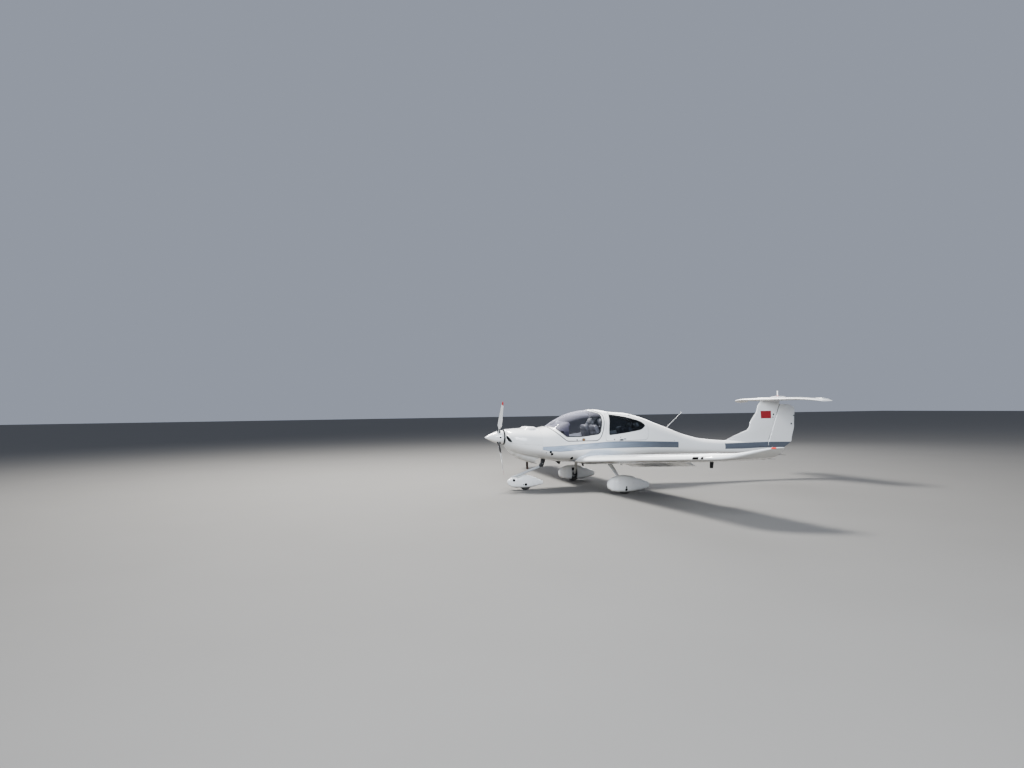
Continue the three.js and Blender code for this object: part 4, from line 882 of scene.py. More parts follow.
# painted shade in the gap between fin and rudder
gap_shade_grey = simple("gap_shade_grey", (0.25, 0.25, 0.255), 0.6)
pale_glass = simple("pale_glass", (0.22, 0.24, 0.29), 0.1, 0.0, 0.9, grain=20, relief=0.05)
bronze = simple("latch_bronze", (0.22, 0.13, 0.06), 0.4, 0.6, grain=60)
chrome = simple("bare_steel", (0.55, 0.55, 0.54), 0.28, 1.0, grain=80)
engine = simple("engine_metal", (0.12, 0.125, 0.13), 0.55, 0.6, grain=40, relief=0.3)
soot = simple("exhaust_steel", (0.045, 0.035, 0.03), 0.7, 0.6, grain=60, relief=0.4)
rusty = simple("exhaust_end", (0.05, 0.026, 0.018), 0.75, 0.4, grain=60, relief=0.4)
screen = simple("blank_screen", (0.006, 0.007, 0.009), 0.08, 0.0, 0.8, relief=0.02)

SLOT_OF = {
    "white_gelcoat": (banded, white, dusty, blades),
    "tinted_glass": (tinted, canopy_clear, red_lens, green_lens),
    "cabin_trim": (trim, hood_trim, lining, carpet, screen),
    "seat_leather": (leather, leather_light, webbing),
    "tyre_rubber": (tyre_rubber, rubber, hole_shade),
    "rim_alloy": (alloy, chrome, bronze, pale_glass),
    "gear_steel": (steel,),
    "grey_paint": (grey, gap_shade_grey),
    "engine_metal": (engine,),
    "exhaust_steel": (soot, rusty),
}


def finished(obj, material, body="airframe", stands_for=(), angle=30, inner=None):
    """Gives a piece its material, its body and smooth shading."""
    obj.data.materials.clear()
    obj.data.materials.append(material)
    obj.data.polygons.foreach_set("use_smooth", [True] * len(obj.data.polygons))
    obj.data.set_sharp_from_angle(angle=math.radians(angle))
    if inner:
        other, test = inner
        obj.data.materials.append(other)
        for face in obj.data.polygons:
            if test(np.array(face.center) * 1000 + [MIDDLE, 0, 0]):
                face.material_index = 1
    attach(obj, body)
    if stands_for:
        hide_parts(*stands_for)
    for slot, members in SLOT_OF.items():
        material in members
    return obj


def inner_face(point):
    """Tells whether a point of a shell lies on its inner face."""
    aft, out, height = point
    _, top, bottom, half, waist, over, under = hull_at(aft)[0]
    inset = SKIN * 0.8
    power, reach = (over, top - waist) if height >= waist else (under, waist - bottom)
    return (abs(out) / (half - inset)) ** power + (abs(height - waist) / (reach - inset)) ** power < 1


# Cowl: the hull, the chin under it and the two bumps on top, blended in one skin
def cowl_lumps(place, bottom):
    """Ovals that swell the section at a place: out, height, half wide, half high, blend."""
    _, foot, half = curve_through(CHIN)(place)[0]
    lumps = [(0.0, bottom + CHIN_SUNK, half, bottom + CHIN_SUNK - foot, 20.0)]
    swell = 1 - ((place - BUMP["aft"]) / BUMP["long"]) ** 2
    if swell > 0:
        wide, high = BUMP["wide"] * math.sqrt(swell), BUMP["high"] * math.sqrt(swell)
        lumps += [(side * BUMP["out"], BUMP["height"], wide, high, 22.0) for side in SIDES.values()]
    return lumps


def cowl_rings(places, inset=0, sides=COWL_SECTION):
    c, s = circle(sides)
    rings = []
    for place, (_, top, bottom, half, waist, over, under) in zip(places, hull_at(places)):
        power = np.where(s >= 0, over, under)
        reach = np.where(s >= 0, top - waist, waist - bottom)
        radius = ((np.abs(c) / half) ** power + (np.abs(s) / reach) ** power) ** (-1 / power)
        for out, height, wide, high, smooth in cowl_lumps(place, bottom):
            dy, dz = -out, waist - height
            a = (c / wide) ** 2 + (s / high) ** 2
            b = 2 * (c * dy / wide ** 2 + s * dz / high ** 2)
            k = (dy / wide) ** 2 + (dz / high) ** 2 - 1
            root = b * b - 4 * a * k
            far = np.where(root > 0, (-b + np.sqrt(np.maximum(root, 0))) / (2 * a), 0)
            near = np.maximum(smooth - np.abs(radius - far), 0)
            radius = np.maximum(radius, far) + near ** 2 / (4 * smooth)
        radius = radius - inset
        rings.append(columns(place, radius * c, waist + radius * s))
    return rings


def split_line(aft):
    return float(np.interp(aft, *zip(*COWL_SPLIT)))


def dark_inside(point):
    """Tells whether a point of the cowl lies on its inner face."""
    aft, out, height = point
    ring = cowl_rings([min(max(aft, COWL_FRONT + 5), FIREWALL - 5)])[0]
    waist = hull_at(aft)[0][4]
    share = math.atan2(height - waist, out) / (2 * math.pi) % 1
    edge = ring[int(round(share * COWL_SECTION)) % COWL_SECTION]
    return math.hypot(out, height - waist) < math.hypot(edge[1], edge[2] - waist) - 9


def cowls():
    marks = (432, 440, 455, 470, 500, 520)
    skin = loft("cowl", cowl_rings(stations(COWL_FRONT, FIREWALL - 1.5, 18, marks)))
    hollow = loft("cowl_hollow", cowl_rings(stations(COWL_FRONT + 12, FIREWALL + 40, 26), 12))
    shaft_hole = tube("hole", [(300, 0, SHAFT), (500, 0, SHAFT)], 82, 40)
    inlets = [loft("inlet", inlet_rings(side, [(380, 0), (690, 0)])) for side in SIDES.values()]
    pipe_hole = tube("pipe_hole", [(EXHAUST["aft"], EXHAUST["out"], z) for z in (400, 900)], 36, 32)
    outlet = box("outlet", FIREWALL - 60, FIREWALL + 60, -188, 188, 588, 790)
    skin = combined(skin, [hollow, shaft_hole, *inlets, pipe_hole, outlet])
    lower = placed("cowl_lower_skin", skin.data.copy())
    skin.name = "cowl_upper_skin"
    for half, node, beyond, gap in ((lower, "cowl_lower", 200, -1), (skin, "cowl_upper", 1700, 1)):
        seam = [(aft, split_line(aft) + gap) for aft in (1300, 400, 300)]
        part = side_prism("half", [(300, beyond), (1300, beyond), *seam], -900, 900)
        finished(combined(half, [part], "INTERSECT"), white, stands_for=[node], inner=(engine, dark_inside))
    for name, side in SIDES.items():
        rim = inlet_rings(side, [(0, 1)], 56)[0]
        lip = [(cowl_front(y, z) + 2, y, z) for _, y, z in np.concatenate([rim, rim[:2]])]
        finished(tube(f"inlet_lip_{name}", lip, 7, 12), white)
        duct_wall = loft("duct", inlet_rings(side, [(500, -2), (660, -2)]))
        duct_room = loft("duct_room", inlet_rings(side, [(480, -5), (650, -5)]))
        finished(combined(duct_wall, [duct_room]), engine)


def inlet_rings(side, places, sides=48):
    """Oval rings round an air inlet, its long axis sloping down and out; each place is aft, growth."""
    cos, sin = math.cos(INLET["slope"]), math.sin(INLET["slope"])
    c, s = circle(sides)
    rings = []
    for aft, more in places:
        along, across = (INLET["long"] + more) * c, (INLET["short"] + more) * s
        out = side * (INLET["out"] + along * cos + across * sin)
        rings.append(columns(aft, out, INLET["height"] - along * sin + across * cos))
    return np.array(rings)


def cowl_front(out, height):
    """Where the cowl's nose lies at a place seen from ahead."""
    for aft in np.arange(COWL_FRONT, 800, 1.0):
        _, top, bottom, half, waist, over, under = hull_at(aft)[0]
        power, reach = (over, top - waist) if height >= waist else (under, waist - bottom)
        if (abs(out) / half) ** power + (abs(height - waist) / reach) ** power < 1:
            return aft
    return 800


# Cabin, canopy, door, windows and boom
def cabin():
    skin = shell("cabin_skin", FIREWALL, CABIN_END, 0, SKIN, 36, FINE_SECTION, CANOPY_MARKS)
    canopy_hole = side_prism("canopy_hole", grown(CANOPY_EDGE, GAP / 2), -WIDE, WIDE, FINE)
    door_hole = side_prism("door_hole", grown(DOOR_EDGE, GAP / 2), -WIDE, DOOR_TOP + GAP / 2, FINE)
    window_hole = side_prism("window_hole", DOOR_PANE, 0, WIDE, FINE)
    skin = combined(skin, [canopy_hole, door_hole, window_hole])
    bulkheads = [
        loft("bulkhead", hull_rings([aft, aft + 26], SKIN - 0.5)) for aft in (FIREWALL + 4, CABIN_END - 30)
    ]
    finished(join("cabin_bulkheads", bulkheads), lining)
    finished(skin, banded, stands_for=["cabin_shell"], inner=(lining, inner_face))
    canopy = shell("canopy_skin", *CANOPY_REACH, 0, SKIN, 30, FINE_SECTION, CANOPY_MARKS)
    frame_of_pane(canopy, CANOPY_EDGE, WIDE, CANOPY_PANE, WIDE, "canopy", "canopy_frame")
    pane(CANOPY_PANE, "canopy_pane", -WIDE, WIDE, CANOPY_REACH, "canopy", "canopy_glass", canopy_clear)
    door = shell("door_skin", *DOOR_REACH, 0, SKIN, 36, FINE_SECTION)
    frame_of_pane(door, DOOR_EDGE, DOOR_TOP - GAP / 2, DOOR_PANE, 0, "rear_door", "rear_door")
    pane(DOOR_PANE, "door_pane", -WIDE, -1, DOOR_REACH, "rear_door", "rear_door_glass")
    pane(DOOR_PANE, "side_window_pane", 1, WIDE, DOOR_REACH, "airframe", "window_rear_right")
    boom()
    seams()
    hinges()


def frame_of_pane(skin, edge, edge_end, opening, opening_end, body, node):
    """What is left of a skin between an outer edge and a pane's opening."""
    edge = side_prism("edge", grown(edge, -GAP / 2), -WIDE, edge_end, FINE)
    hole = side_prism("hole", opening, -WIDE, opening_end, FINE)
    skin = combined(combined(skin, [edge], "INTERSECT"), [hole])
    finished(skin, white, body, [node], inner=(lining, inner_face))


def pane(outline, name, y0, y1, reach, body, node, material=tinted):
    skin = shell(name, *reach, 2.0, 7.0, 30, FINE_SECTION)
    skin = combined(skin, [side_prism("cut", grown(outline, -0.6), y0, y1, FINE)], "INTERSECT")
    finished(skin, material, body, [node])
    finished(band(name + "_seal", outline, 6.5, 5.5, -1.2, 2.6, reach, y0, y1), rubber, body)
    finished(band(name + "_ledge", outline, 0, 16, 7.5, 12, reach, y0, y1), rubber, body)


def behind_hinge():
    """All that lies behind the fin's rear face."""
    low, high = 500, 2200
    face = [(hinge_aft(z) - 50, z) for z in (high, low)]
    return side_prism("behind", [*face, (BEYOND, low), (BEYOND, high)], -500, 500)


def boom():
    skin = loft("boom_skin", hull_rings(stations(CABIN_END + 1.2, BOOM_END, 60)))
    hollow = loft("boom_hollow", hull_rings(stations(CABIN_END - 20, 6900, 60), 14))
    finished(combined(skin, [hollow, behind_hinge()]), banded, stands_for=["tail_boom"])
    finished(loft("boom_joint", hull_rings([CABIN_END - 1.0, CABIN_END + 2.2], 3.0)), rubber)


def seams():
    """Rubber behind the gaps round the canopy and the door, and beads on their edges."""
    for name, outline, out, inner, depth, reach, right, material, body in (
        ("canopy_seal", CANOPY_EDGE, 2.2, 2.2, (9, 26), CANOPY_REACH, WIDE, rubber, "airframe"),
        ("door_seal", DOOR_EDGE, 2.2, 2.2, (9, 26), DOOR_REACH, DOOR_TOP, rubber, "airframe"),
        ("canopy_bead", CANOPY_EDGE, -2.8, 17, (-0.7, 4), CANOPY_REACH, WIDE, rubber, "canopy"),
        ("door_bead", DOOR_EDGE, -2.8, 6, (-0.6, 4), DOOR_REACH, DOOR_TOP - 2.8, grey, "rear_door"),
    ):
        finished(band(name, outline, out, inner, *depth, reach, -WIDE, right), material, body)
    finished(loft("firewall_joint", hull_rings([FIREWALL - 1.6, FIREWALL + 0.2], 3.0)), rubber)


def hinges():
    aft, height, half = (CANOPY_HINGE[k] for k in ("aft", "height", "half"))
    for name, side in SIDES.items():
        out = side * CANOPY_HINGE["middle"]
        pin = [(aft, out + d, height) for d in (-42, 42)]
        finished(tube(f"canopy_hinge_{name}", pin, CANOPY_HINGE["radius"] - 1, 20), steel)
        leaf = box("leaf", aft, aft + 60, out - half, out + half, height - 8, height + 1, 1.5)
        finished(leaf, white, "canopy")
    front, rear = np.array(DOOR_HINGE, float)
    for i, share in enumerate((0.2, 0.75)):
        for part, body, spread in (
            ("roof", "airframe", (-0.03, -0.001)), ("door", "rear_door", (0.001, 0.03)),
        ):
            pin = [front + (rear - front) * (share + t) for t in spread]
            finished(tube(f"door_hinge_{part}_{i}", pin, 8.5, 20), white, body)


# Wing
def foil_half(x, thick):
    return 5 * thick * (0.2969 * np.sqrt(x) - 0.126 * x - 0.3516 * x ** 2 + 0.2843 * x ** 3 - 0.1036 * x ** 4)


def foil_line(x, camber=CAMBER):
    height, crest = camber
    near = np.where(x < crest, crest, 1 - crest)
    return height * (2 * crest * x - x * x + np.where(x < crest, 0, 1 - 2 * crest)) / near ** 2


def foil(thick, camber=CAMBER, steps=36, blunt=0.0016):
    """A section's outline from its trailing edge over the top and back below, one long."""
    x = (1 - np.cos(np.pi * np.arange(steps + 1) / steps)) / 2
    line, half = foil_line(x, camber), foil_half(x, thick) + blunt
    upper = np.stack([x, line + half], axis=1)[:0:-1]
    lower = np.stack([x, line - half], axis=1)[1:]
    return np.concatenate([upper, [[0, 0]], lower])


def wing_middle(out, share):
    """The middle line behind the crest."""
    _, lead, trail, rise, drop, _ = wing_straight(out)[0]
    height, crest = CAMBER
    camber = height * (1 - 2 * crest + 2 * crest * share - share ** 2) / (1 - crest) ** 2
    return np.array([lead + (trail - lead) * share, out, rise - drop * share + camber * (trail - lead)])


def wing_point(share, out, upper=True):
    """A point of the wing's skin."""
    _, lead, trail, rise, drop, thick = wing_at(out)[0]
    up = foil_line(share) + (1 if upper else -1) * foil_half(share, thick)
    return np.array([lead + (trail - lead) * share, out, rise - drop * share + up * (trail - lead)])


def wing_rings(side, places):
    rings = []
    for out, lead, trail, rise, drop, thick in wing_at(places):
        along, up = foil(thick).T
        chord = trail - lead
        rings.append(columns(lead + chord * along, side * out, rise - drop * along + up * chord))
    return rings


def surface_ring(hinge, radius, trail, across, swell=0.05):
    """A control surface's section: a round nose on the hinge line, gently full sides, a thin edge."""
    hinge, trail, across = (np.asarray(v, float) for v in (hinge, trail, across))
    forward, side_up = squared(hinge - trail, across)
    points = [
        hinge + radius * (forward * math.cos(a) - side_up * math.sin(a))
        for a in np.linspace(-math.pi / 2, math.pi / 2, 14)
    ]
    run = np.linspace(0.08, 1, 10)
    for sign, shares in ((-1, run), (1, run[::-1])):
        for t in shares:
            high = radius * (1 - t) + 2 * t + radius * swell * 4 * t * (1 - t)
            points.append(trail * t + hinge * (1 - t) + side_up * sign * high)
    return np.array(points)


def lug_slab(at, across, forward, low, high, half, tall):
    """A flat bar on a hinge line, from a reach to a reach forward."""
    out = np.asarray(across, float) / np.linalg.norm(across)
    ahead, down = squared(np.asarray(forward, float), out)
    corners = ((1, -1), (1, 1), (-1, 1), (-1, -1))
    return loft("slab", [
        [at + ahead * reach + out * i * half + down * j * tall for i, j in corners] for reach in (low, high)
    ])


def lug(at, across, forward, reach):
    out = np.asarray(across, float) / np.linalg.norm(across)
    barrel = tube("barrel", [at - out * 3, at + out * 3], 9, 24)
    return [barrel, lug_slab(at, across, forward, 0, reach, 2.9, 8.8)]


def lug_slot(at, across, forward):
    return lug_slab(at, across, forward, -15, 200, 3.6, 200)


def wing_surface(side, spec):
    """A flap or aileron, the room cut for it and its brackets."""
    low, high, share = spec["from"], spec["to"], spec["share"]
    mirror = np.array([1, side, 1])
    ends = []
    for out in (low, high):
        _, lead, trail, _, _, thick = wing_straight(out)[0]
        radius = (trail - lead) * foil_half(share, thick)
        ends.append(np.array([*wing_middle(out, share) * mirror, radius, *wing_middle(out, 1) * mirror]))
    inner, outer = ends
    at = lambda t: inner + (outer - inner) * t
    rings = [surface_ring(at(t)[:3], at(t)[3], at(t)[4:], (0, side, 0)) for t in np.linspace(0, 1, 24)]
    skin = loft("surface", rings)
    corners = [
        (inner[0] - inner[3] - 8, side * (low - 8)), (9000, side * (low - 8)),
        (9000, side * (high + 8)), (outer[0] - outer[3] - 8, side * (high + 8)),
    ]
    room = plan_prism("cut", corners, 100, 1900)
    brackets, slots = [], []
    forward = (-1, 0, 0.05)
    across = outer[:3] - inner[:3]
    for out in spec["brackets"]:
        place = at((out - low) / (high - low))
        brackets += lug(place[:3], across, forward, place[3] + 24)
        slots.append(lug_slot(place[:3], across, forward))
    skin = combined(skin, slots)
    foot = Vector((inner[:3] - [MIDDLE, 0, 0]) / 1000)
    turn = Matrix.Rotation(math.radians(side * spec["rest"]), 4, Vector(across))
    skin.data.transform(Matrix.Translation(foot) @ turn @ Matrix.Translation(-foot))
    return skin, room, brackets


def wing(name, side):
    places = np.unique(np.concatenate([
        [0.6, 5970], np.linspace(70, 420, 6), np.linspace(420, 620, 3), np.linspace(620, 5280, 16),
        np.linspace(5280, 5968, 26),
    ]))
    body = loft(f"wing_{name}_skin", wing_rings(side, places))
    flap, flap_room, flap_lugs = wing_surface(side, FLAP)
    aileron, aileron_room, aileron_lugs = wing_surface(side, AILERON)
    body = combined(body, [flap_room, aileron_room])
    body = combined(body, [loft("fuselage", hull_rings(stations(1500, 4000, 50), -1.0))])
    finished(body, white, stands_for=[f"wing_{name}"], angle=34)
    finished(join(f"hinge_brackets_{name}", flap_lugs + aileron_lugs), white)
    finished(flap, white, f"flap_{name}", [f"flap_{name}"])
    finished(aileron, white, f"aileron_{name}", [f"aileron_{name}"])
    foot = (JACK_PAD["aft"], side * JACK_PAD["out"], wing_middle(JACK_PAD["out"], 0.35)[2] - 115)
    finished(lathe(f"jack_pad_{name}", [(0, 20), (3, 24), (90, 24)], foot, (0, 0, 1), 32), white)
    root_fillet(side, name)
    wing_details(side, name)


def root_fillet(side, name):
    """A hollow curve that leads the wing's top into the fuselage."""
    rings = []
    for share in np.linspace(0.006, 0.985, 60):
        out = 560.0
        for _ in range(12):
            point = wing_point(share, out)
            out = max(430.0, hull_out(point[0], point[2]))
        corner = wing_point(share, out)
        size = 16 + 52 * math.sin(math.pi * min(1, share * 1.15 + 0.08)) ** 0.6
        foot = wing_point(share, out + size)
        head_height = corner[2] + size * 1.1
        head = np.array([corner[0], hull_out(corner[0], head_height), head_height])
        middle = corner + [0, 2, 1]
        curve = [(1 - t) ** 2 * foot + 2 * t * (1 - t) * middle + t * t * head for t in np.linspace(0, 1, 9)]
        ring = np.array([foot - [0, 0, 4], *curve, head - [0, 4, 0], corner - [0, 8, 8]])
        rings.append(ring * [1, side, 1])
    finished(loft(f"root_fillet_{name}", rings), banded, angle=50)


def wick(start, bend, radii):
    """A thin static wick that trails from an edge."""
    return tube("wick", [start, *(start + step for step in bend)], radii, 8)


def wing_details(side, name):
    cap = wing_point(0.32, 1900) * [1, side, 1]
    finished(disc(f"fuel_cap_rim_{name}", cap - [0, 0, 2], (0, 0, 1), 44, 3.4, 40), grey)
    finished(disc(f"fuel_cap_{name}", cap + [0, 0, 1], (0, 0, 1), 34, 3.2, 40), chrome)
    wicks = []
    for out in WING_WICKS:
        _, _, trail, rise, drop, _ = wing_at(out)[0]
        start = np.array([trail - 8, side * out, rise - drop])
        wicks.append(wick(start, [(60, 0, -4), (135, side * 4, -10)], [4, 3, 1.8]))
    finished(join(f"wing_wicks_{name}", wicks), steel)
    middle, size = np.array([3030, side * 5954, 1164]), np.array([62, side * 16, 13])
    lens = loft(f"tip_light_{name}", middle + size * ball_rings())
    finished(lens, red_lens if side < 0 else green_lens)
    if side < 0:
        landing_light()


def ball_rings(count=10, sides=20):
    """Rings of a ball of radius one."""
    c, s = circle(sides)
    t = np.pi * np.linspace(0.02, 0.98, count)
    return np.array([columns(-math.cos(a), math.sin(a) * c, math.sin(a) * s) for a in t])


def landing_light():
    """A glazed window let into the left wing's nose, with two lamps behind it."""
    for name, reach, shares, proud, material in (
        ("landing_light_window", (5085, 5362), np.linspace(0.1, 0.002, 16), 1.0, pale_glass),
        # the lamps are flat black: painted shade behind the glass
        ("landing_light_lamp_inner", (5060, 5232), np.linspace(0.017, -0.003, 14), 2.2, hole_shade),
        ("landing_light_lamp_outer", (5300, 5352), np.linspace(0.017, -0.003, 14), 2.2, hole_shade),
    ):
        rings = []
        for out in np.linspace(*reach, 12):
            middle = (wing_point(0.06, out, True) + wing_point(0.06, out, False)) / 2
            faces = []
            for share in shares:
                point = wing_point(abs(share), out, share >= 0)
                away = (point - middle) * [1, 0, 1]
                away /= np.linalg.norm(away)
                faces.append([(point + away * lift) * [1, -1, 1] for lift in (proud, -5.0)])
            rings.append([face[0] for face in faces] + [face[1] for face in faces[::-1]])
        finished(loft(name, rings), material)


# Tail
def hinge_aft(height):
    (x0, z0), (x1, z1) = HINGE_FOOT, HINGE_HEAD
    return x0 + (height - z0) * (x1 - x0) / (z1 - z0)


FIN_SHAPE = np.array([
    (0, 0), (0.01, 0.13), (0.04, 0.3), (0.08, 0.46), (0.14, 0.62), (0.22, 0.78), (0.32, 0.9), (0.44, 0.975),
    (0.55, 1), (0.68, 0.99), (0.8, 0.96), (0.9, 0.92), (1, 0.88),
])


def tail():
    fin_at, rudder_at = curve_through(FIN), curve_through(RUDDER)
    rings = []
    for height, lead, half in fin_at(np.unique(np.concatenate([np.linspace(860, 1960, 56), FIN[:, 0]]))):
        right = columns(lead + (hinge_aft(height) - lead) * FIN_SHAPE[:, 0], half * FIN_SHAPE[:, 1], height)
        rings.append(np.concatenate([right, (right * [1, -1, 1])[:0:-1]]))
    room = box("room", 7505, 9000, -100, 100, 1900, 2400)
    fin = combined(loft("fin_skin", rings), [behind_hinge(), room])
    finished(fin, banded, stands_for=["fin"])
    rudder_seal(rudder_at)
    # the fin's marks are flat black: painted shade
    finished(join("fin_marks", fin_marks(fin_at)), hole_shade)
    across = np.array([HINGE_HEAD[0] - HINGE_FOOT[0], 0, HINGE_HEAD[1] - HINGE_FOOT[1]], float)
    lugs_at = [np.array([hinge_aft(height), 0, height]) for height in RUDDER_LUGS]
    finished(join("rudder_hinges", [p for at in lugs_at for p in lug(at, across, (-1, 0, 0), 72)]), white)
    rings = [
        surface_ring((hinge_aft(z), 0, z), half, (trail, 0, z), (0, 0, 1), 0.03)
        for z, trail, half in rudder_at(np.unique(np.concatenate([np.linspace(604, 1830, 40), RUDDER[:, 0]])))
    ]
    rudder = combined(loft("rudder_skin", rings), [lug_slot(at, across, (-1, 0, 0)) for at in lugs_at])
    finished(rudder, banded, "rudder", ["rudder"])
    lumps = [
        box("lump", x - 40, x - 3, -half, half, z - tall, z + tall, 3) for x, z, half, tall in RUDDER_TABS
    ]
    finished(join("rudder_tab_fittings", lumps), steel, "rudder")
    tailplane_pieces()


def fin_marks(fin_at):
    marks = []
    for aft, height, radius in FIN_MARKS:
        _, lead, half = fin_at(height)[0]
        out = half * np.interp((aft - lead) / (hinge_aft(height) - lead), *FIN_SHAPE.T)
        marks += [
            disc("mark", (aft, side * (out - 1), height), (0, side, 0), radius, 2.4, 16)
            for side in SIDES.values()
        ]
    return marks


def rudder_seal(rudder_at):
    """What fills the fin's hollow ahead of the rudder's round nose; its tone is painted shade in the gap,
    grey below and black above.
    """
    rings = []
    for height in np.linspace(960, 1825, 30):
        out = np.linspace(-27, 27, 9)
        nose = hinge_aft(height) - np.sqrt((rudder_at(height)[0][2] + 2.5) ** 2 - out ** 2)
        back = [hinge_aft(height) - 51]
        rings.append(columns([*back, *nose, *back], [out[0], *out, out[-1]], height))
    # painted shade in the gap: black above a height, grey below
    upper = (rubber, lambda point: point[2] > SEAL_SHADE_FROM)
    finished(loft("rudder_gap_seal", rings), gap_shade_grey, inner=upper)


def tail_back(out):
    """The tailplane's trailing edge."""
    return TAIL_TRAIL[0] + (TAIL_TRAIL[1] - TAIL_TRAIL[0]) * abs(out) / TAILPLANE[-1, 0]


def tail_rings(places):
    rings = []
    for place, (_, lead, rise, thick) in zip(places, curve_through(TAILPLANE)(np.abs(places))):
        back = tail_back(place)
        along, up = foil(thick, (0.0, 0.4), 30).T
        rings.append(columns(lead + (back - lead) * along, place, rise + up * (back - lead)))
    return rings


def elevator_half(side):
    hinge, height, radius = (ELEVATOR[k] for k in ("hinge", "height", "radius"))
    rings = []
    places = np.concatenate([np.linspace(ELEVATOR["from"], 1500, 14), np.linspace(1500, 1560, 5)])
    for out in np.unique(places):
        bend = max(0.0, (out - 1000) / 560)
        trail = (tail_back(out), side * out, height - 20 * bend ** 2)
        rings.append(surface_ring((hinge, side * out, height), radius - 4 * bend, trail, (0, side, 0), 0.03))
    slots = [lug_slot(np.array([hinge, side * out, height]), (0, 1, 0), (-1, 0, 0)) for out in ELEVATOR_LUGS]
    return combined(loft("half", rings), slots)


def tailplane_pieces():
    hinge, height, radius, end = (ELEVATOR[k] for k in ("hinge", "height", "radius", "to"))
    places = np.unique(np.concatenate([np.linspace(-1645, 1645, 61), TAILPLANE[:, 0], -TAILPLANE[:, 0]]))
    behind = box("behind", hinge - radius - 8, 9000, -end - 8, end + 8, 1500, 2400)
    body = combined(loft("tailplane_skin", tail_rings(places)), [behind])
    bullet = loft("bullet", np.array([7520, 0, 1992]) + np.array([235, 46, 38]) * ball_rings(24, 32))
    room = tube("tube_room", [(hinge, -130, height), (hinge, 130, height)], ELEVATOR["tube"] + 8, 24)
    finished(combined(combined(body, [bullet], "UNION"), [room]), white, stands_for=["tailplane"])
    lugs = []
    for side in SIDES.values():
        for out in ELEVATOR_LUGS:
            lugs += lug(np.array([hinge, side * out, height]), (0, 1, 0), (-1, 0, 0), radius + 26)
    finished(join("elevator_hinges", lugs), white)
    rod = tube("rod", [(hinge, -100, height), (hinge, 100, height)], ELEVATOR["tube"], 24)
    halves = [elevator_half(side) for side in SIDES.values()]
    finished(join("elevator_skin", [*halves, rod]), white, "elevator", ["elevator"])
    bend = [(70, 0, 0), (130, 0, -4)]
    wicks = [
        wick(np.array([tail_back(out) - 8, side * out, height - 12]), bend, [3.5, 3, 1.8])
        for side in SIDES.values() for out in ELEVATOR_WICKS
    ]
    finished(join("elevator_wicks", wicks), steel, "elevator")
    post = [(0, 22), (14, 20), (22, 16.8), (110, 14), (162, 12.2), (168, 11), (170, 6)]
    finished(lathe("tail_post_skin", post, (7500, 0, 1990), (0, 0, 1), 32), white, stands_for=["tail_post"])
    finished(lathe("tail_post_ring", [(0, 20.6), (26, 17.6)], (7500, 0, 2016), (0, 0, 1), 32), red_lens)


# Undercarriage
def pant_rings(table, out):
    """Sections of a wheel fairing, with a rounded nose."""
    places = np.unique(np.concatenate([np.linspace(table[0, 0], table[-1, 0], 44), table[:, 0]]))
    rings = []
    for aft, top, bottom, half in curve_through(table)(places):
        reach = (top - bottom) / 2
        rings.append(egg(aft, out, half, (top + bottom) / 2, reach, reach, *PANT_POWER.values(), 64))
    nose = rings[0].mean(axis=0)
    for share, ahead in ((0.7, 1.0), (0.35, 1.6)):
        rings.insert(0, nose + (rings[0] - nose) * share - [ahead, 0, 0])
    return rings


def wheel_room(wheel, out):
    aft, radius, half = wheel["aft"], wheel["radius"], wheel["room"]
    reach = radius + 8
    round_part = tube("round", [(aft, out - half, radius), (aft, out + half, radius)], reach, 72)
    return [round_part, box("low", aft - reach, aft + reach, out - half, out + half, -50, radius)]


def pant_side(table, aft, height):
    _, top, bottom, half = curve_through(table)(aft)[0]
    middle, reach = (top + bottom) / 2, (top - bottom) / 2
    return egg_out(half, abs(height - middle) / reach, PANT_POWER["above" if height >= middle else "below"])


def pant_patch(table, out, side, aft, height, radius):
    """A round mark on the side of a fairing."""
    def place(a, b, lift):
        return aft + a, out + side * (pant_side(table, aft + a, height + b) + lift), height + b

    return patch(place, radius)


def main_gear(name, side):
    out = side * MAIN["out"]
    inner, far = sorted((out - side * 75, out - side * 200))
    body = loft(f"main_pant_{name}_skin", pant_rings(MAIN_PANT, out))
    body = combined(body, [*wheel_room(MAIN, out), box("doorway", 2540, 2690, inner, far, -50, 330)])
    finished(body, dusty, stands_for=[f"main_pant_{name}"])
    # painted shade in the fairing's holes
    holes = [pant_patch(MAIN_PANT, out, side, *spot) for spot in MAIN_PANT_HOLES]
    finished(join(f"main_pant_holes_{name}", holes), hole_shade)
    screws = []
    for aft in (2466, 2760):
        for height in (110, 170, 230, 290):
            at = (aft, out + side * (pant_side(MAIN_PANT, aft, height) - 1.0), height)
            screws.append(disc("screw", at, (0, side, 0), 4.5, 1.8, 12))
    finished(join(f"main_pant_screws_{name}", screws), chrome)
    c, s = circle(36)
    low, high = MAIN_LEG[0, 0], MAIN_LEG[-1, 0]
    leg = loft(f"main_leg_{name}_skin", [
        columns(aft + long * c, side * place, rise + tall * s)
        for place, aft, rise, long, tall in curve_through(MAIN_LEG)(np.linspace(low, high, 24))
    ])
    above = loft("above", wing_rings(side, np.linspace(700, 1700, 8)))
    finished(combined(leg, [above]), white, stands_for=[f"main_leg_{name}"])
    line = smooth_path(np.array(BRAKE_LINE) * [1, side, 1])
    finished(tube(f"brake_line_{name}", line, 3.2, 8), steel)


def smooth_path(points, count=28):
    points = np.asarray(points, float)
    along = np.concatenate([[0], np.cumsum(np.linalg.norm(np.diff(points, axis=0), axis=1))])
    table = np.column_stack([along, points])
    return curve_through(table)(np.linspace(0, along[-1], count))[:, 1:]


